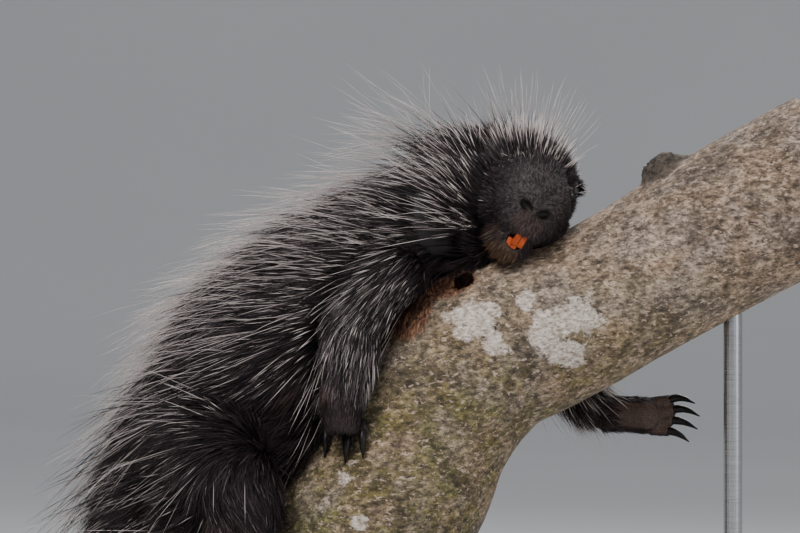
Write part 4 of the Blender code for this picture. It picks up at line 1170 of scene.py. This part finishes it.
def coatGroup():
    group, given, result = makeGroup("coat colour", {"Marks": "Color", "Along": "Float", "Tone": "Float",
                                                     "Light": "Float"}, {"Colour": "Color"})
    along, tone = given["Along"], given["Tone"]
    # the brightest tones lift strands to a mauve grey: painted sheen on the dark coat, with random tone of
    # the hair below that
    toneAndSheen = ramp(group, tone, coatColours["toneAndSheen"])
    dark = mix(group, 1.0, ramp(group, along, coatColours["dark"]), toneAndSheen, "MULTIPLY")
    pale = ramp(group, along, coatColours["pale"])
    pale = mix(group, maths(group, "MULTIPLY", tone, 0.25), pale, coatColours["dull"])
    colour = mix(group, given["Light"], dark, pale)
    parts = splitColour(group, given["Marks"])
    for part, name in (("Red", "face"), ("Blue", "brown"), ("Green", "tan")):
        colour = mix(group, parts[part], colour, ramp(group, tone, coatColours[name]))
    plug(result["Colour"], colour)
    return group


def coatMaterial(group):
    material, tree, sockets = newMaterial("hair and quills", {"Roughness": 0.5, "Specular IOR Level": 0.15})
    parts = splitColour(tree, colourLayer(tree, "strand"))
    values = {"Marks": colourLayer(tree, "marks"), "Along": parts["Red"], "Tone": parts["Green"],
              "Light": parts["Blue"]}
    plug(sockets["Base Color"], addNode(tree, "Group", values, node_tree=group).outputs["Colour"])
    return material


def skinMaterial(group):
    shine = {"Roughness": 0.62, "Specular IOR Level": 0.35}
    material, tree, sockets = newMaterial("skin and short fur", shine)
    where = objectPlace(tree)
    pores = noiseOf(tree, where, 900, 3, 0.6)
    values = {"Marks": colourLayer(tree, "marks"), "Along": maths(tree, "MULTIPLY", pores, 0.8),
              "Tone": noiseOf(tree, where, 120, 4, 0.6), "Light": 0.0}
    colour = addNode(tree, "Group", values, node_tree=group).outputs["Colour"]
    parts = splitColour(tree, colourLayer(tree, "bare"))
    colour = mix(tree, parts["Green"], colour, ramp(tree, pores, coatColours["sole"]))
    # painted shade: the bare layer's red share paints the near-black hollow colour into the nostrils, the
    # mouth and the eye slit
    plug(sockets["Base Color"], mix(tree, parts["Red"], colour, coatColours["hollow"]))
    creases = addNode(tree, "TexVoronoi", {"Vector": where, "Scale": 520},
                      feature="DISTANCE_TO_EDGE").outputs[0]
    height = maths(tree, "ADD", pores, maths(tree, "MULTIPLY", creases, 0.9))
    addBump(tree, sockets, height, 0.0005, 0.6)
    return material


def headHoles(offset):
    # nearness to the nostrils and the mouth: under 1 is inside
    ahead, above, aside = headPlan["nostril"]["at"]
    holes = [awayFrom(offset, (ahead - 3, above, side * aside), (8, 3.6, 6.6)) for side in (-1, 1)]
    middle, radii = headPlan["mouth"]
    holes.append(awayFrom(offset, middle, np.array(radii) + (2, 0.8, 0.8)))
    return np.min(holes, axis=0)


def dressBody():
    places, normals = pointsOf(skin), normalsOf(skin)
    fields = bodyFields(places, normals)
    marks, bare = markings(places, normals, fields)
    holes = headHoles(fields["offset"])
    eyeAway = fields["eyeAway"]
    # painted shade: the skin inside the nostrils and the mouth and round the eye slit is painted near black
    hollow = np.maximum(1 - smoothStep(1.0, 1.3, holes), 0.85 * (1 - smoothStep(7, 11, eyeAway)))
    addColours(skin.data, "marks", marks)
    # the bare layer holds the painted shade in red, and the bare skin of the palm in green and blue
    addColours(skin.data, "bare", np.stack([hollow, bare, bare], axis=1))
    group = coatGroup()
    finishPiece(skin, skinMaterial(group), "coat", *skinNodes)
    bark = treeOf(limbBark)
    hits = [bark.find_nearest(place) for place in places]
    clear = np.array([(Vector(place) - hit[0]).dot(hit[1]) for place, hit in zip(places, hits)])
    roomy = smoothStep(0.0008, 0.004, clear) * smoothStep(1.0, 1.2, holes) * smoothStep(5.0, 7.0, eyeAway)
    roomy *= 1 - bare
    trunk, neck, tail, fore, hind, foot, head, reach = (
        fields[name] for name in ("trunk", "neck", "tail", "fore", "hind", "foot", "head", "reach"))
    longHair = trunk + neck + tail
    topSide = smoothStep(-0.2, 0.6, normals[:, 2] * 0.8 - normals[:, 0] * 0.6)
    chances = {
        "under": (longHair + 1.3 * fore + 1.2 * hind + head * (0.1 + 1.9 * smoothStep(28, 52, reach))
                  + 1.7 * foot),
        "over": longHair + 1.3 * fore + 1.1 * hind + head * 2.0 * smoothStep(30, 56, reach) + 1.6 * foot,
        "quills": (trunk + 1.4 * neck + tail + 0.25 * fore + 0.4 * hind + head * 1.8 * fields["crown"])
                  * smoothStep(14, 24, eyeAway) * (1 - foot),
        "guard": (trunk * (0.5 + topSide) + 1.8 * neck + tail + 0.15 * fore + 0.2 * hind
                  + 1.2 * fields["farArm"] + 2.0 * fields["crown"] * head) * (1 - fields["groin"]),
        "velvet": head * (1 - smoothStep(42, 64, reach)) + 0.4 * foot,
    }
    rng = np.random.default_rng(coatRules["seed"])
    faces = readAll(skin.data.polygons, "vertices", 3, np.int32)
    uvs = readAll(skin.data.uv_layers[0].data, "uv", 2).reshape(-1, 3, 2)
    material = coatMaterial(group)
    for kind, chance in chances.items():
        growKind(kind, rng, (faces, uvs, places, normals), np.maximum(chance, 0) * roomy, bark, material)


eyeCentres = [pointsOf(ball).mean(axis=0) for ball, _ in eyes]
limbBox = pointsOf(limbBark).min(axis=0), pointsOf(limbBark).max(axis=0)
unwrapSkin()
print("skin unwrapped")
dressBody()
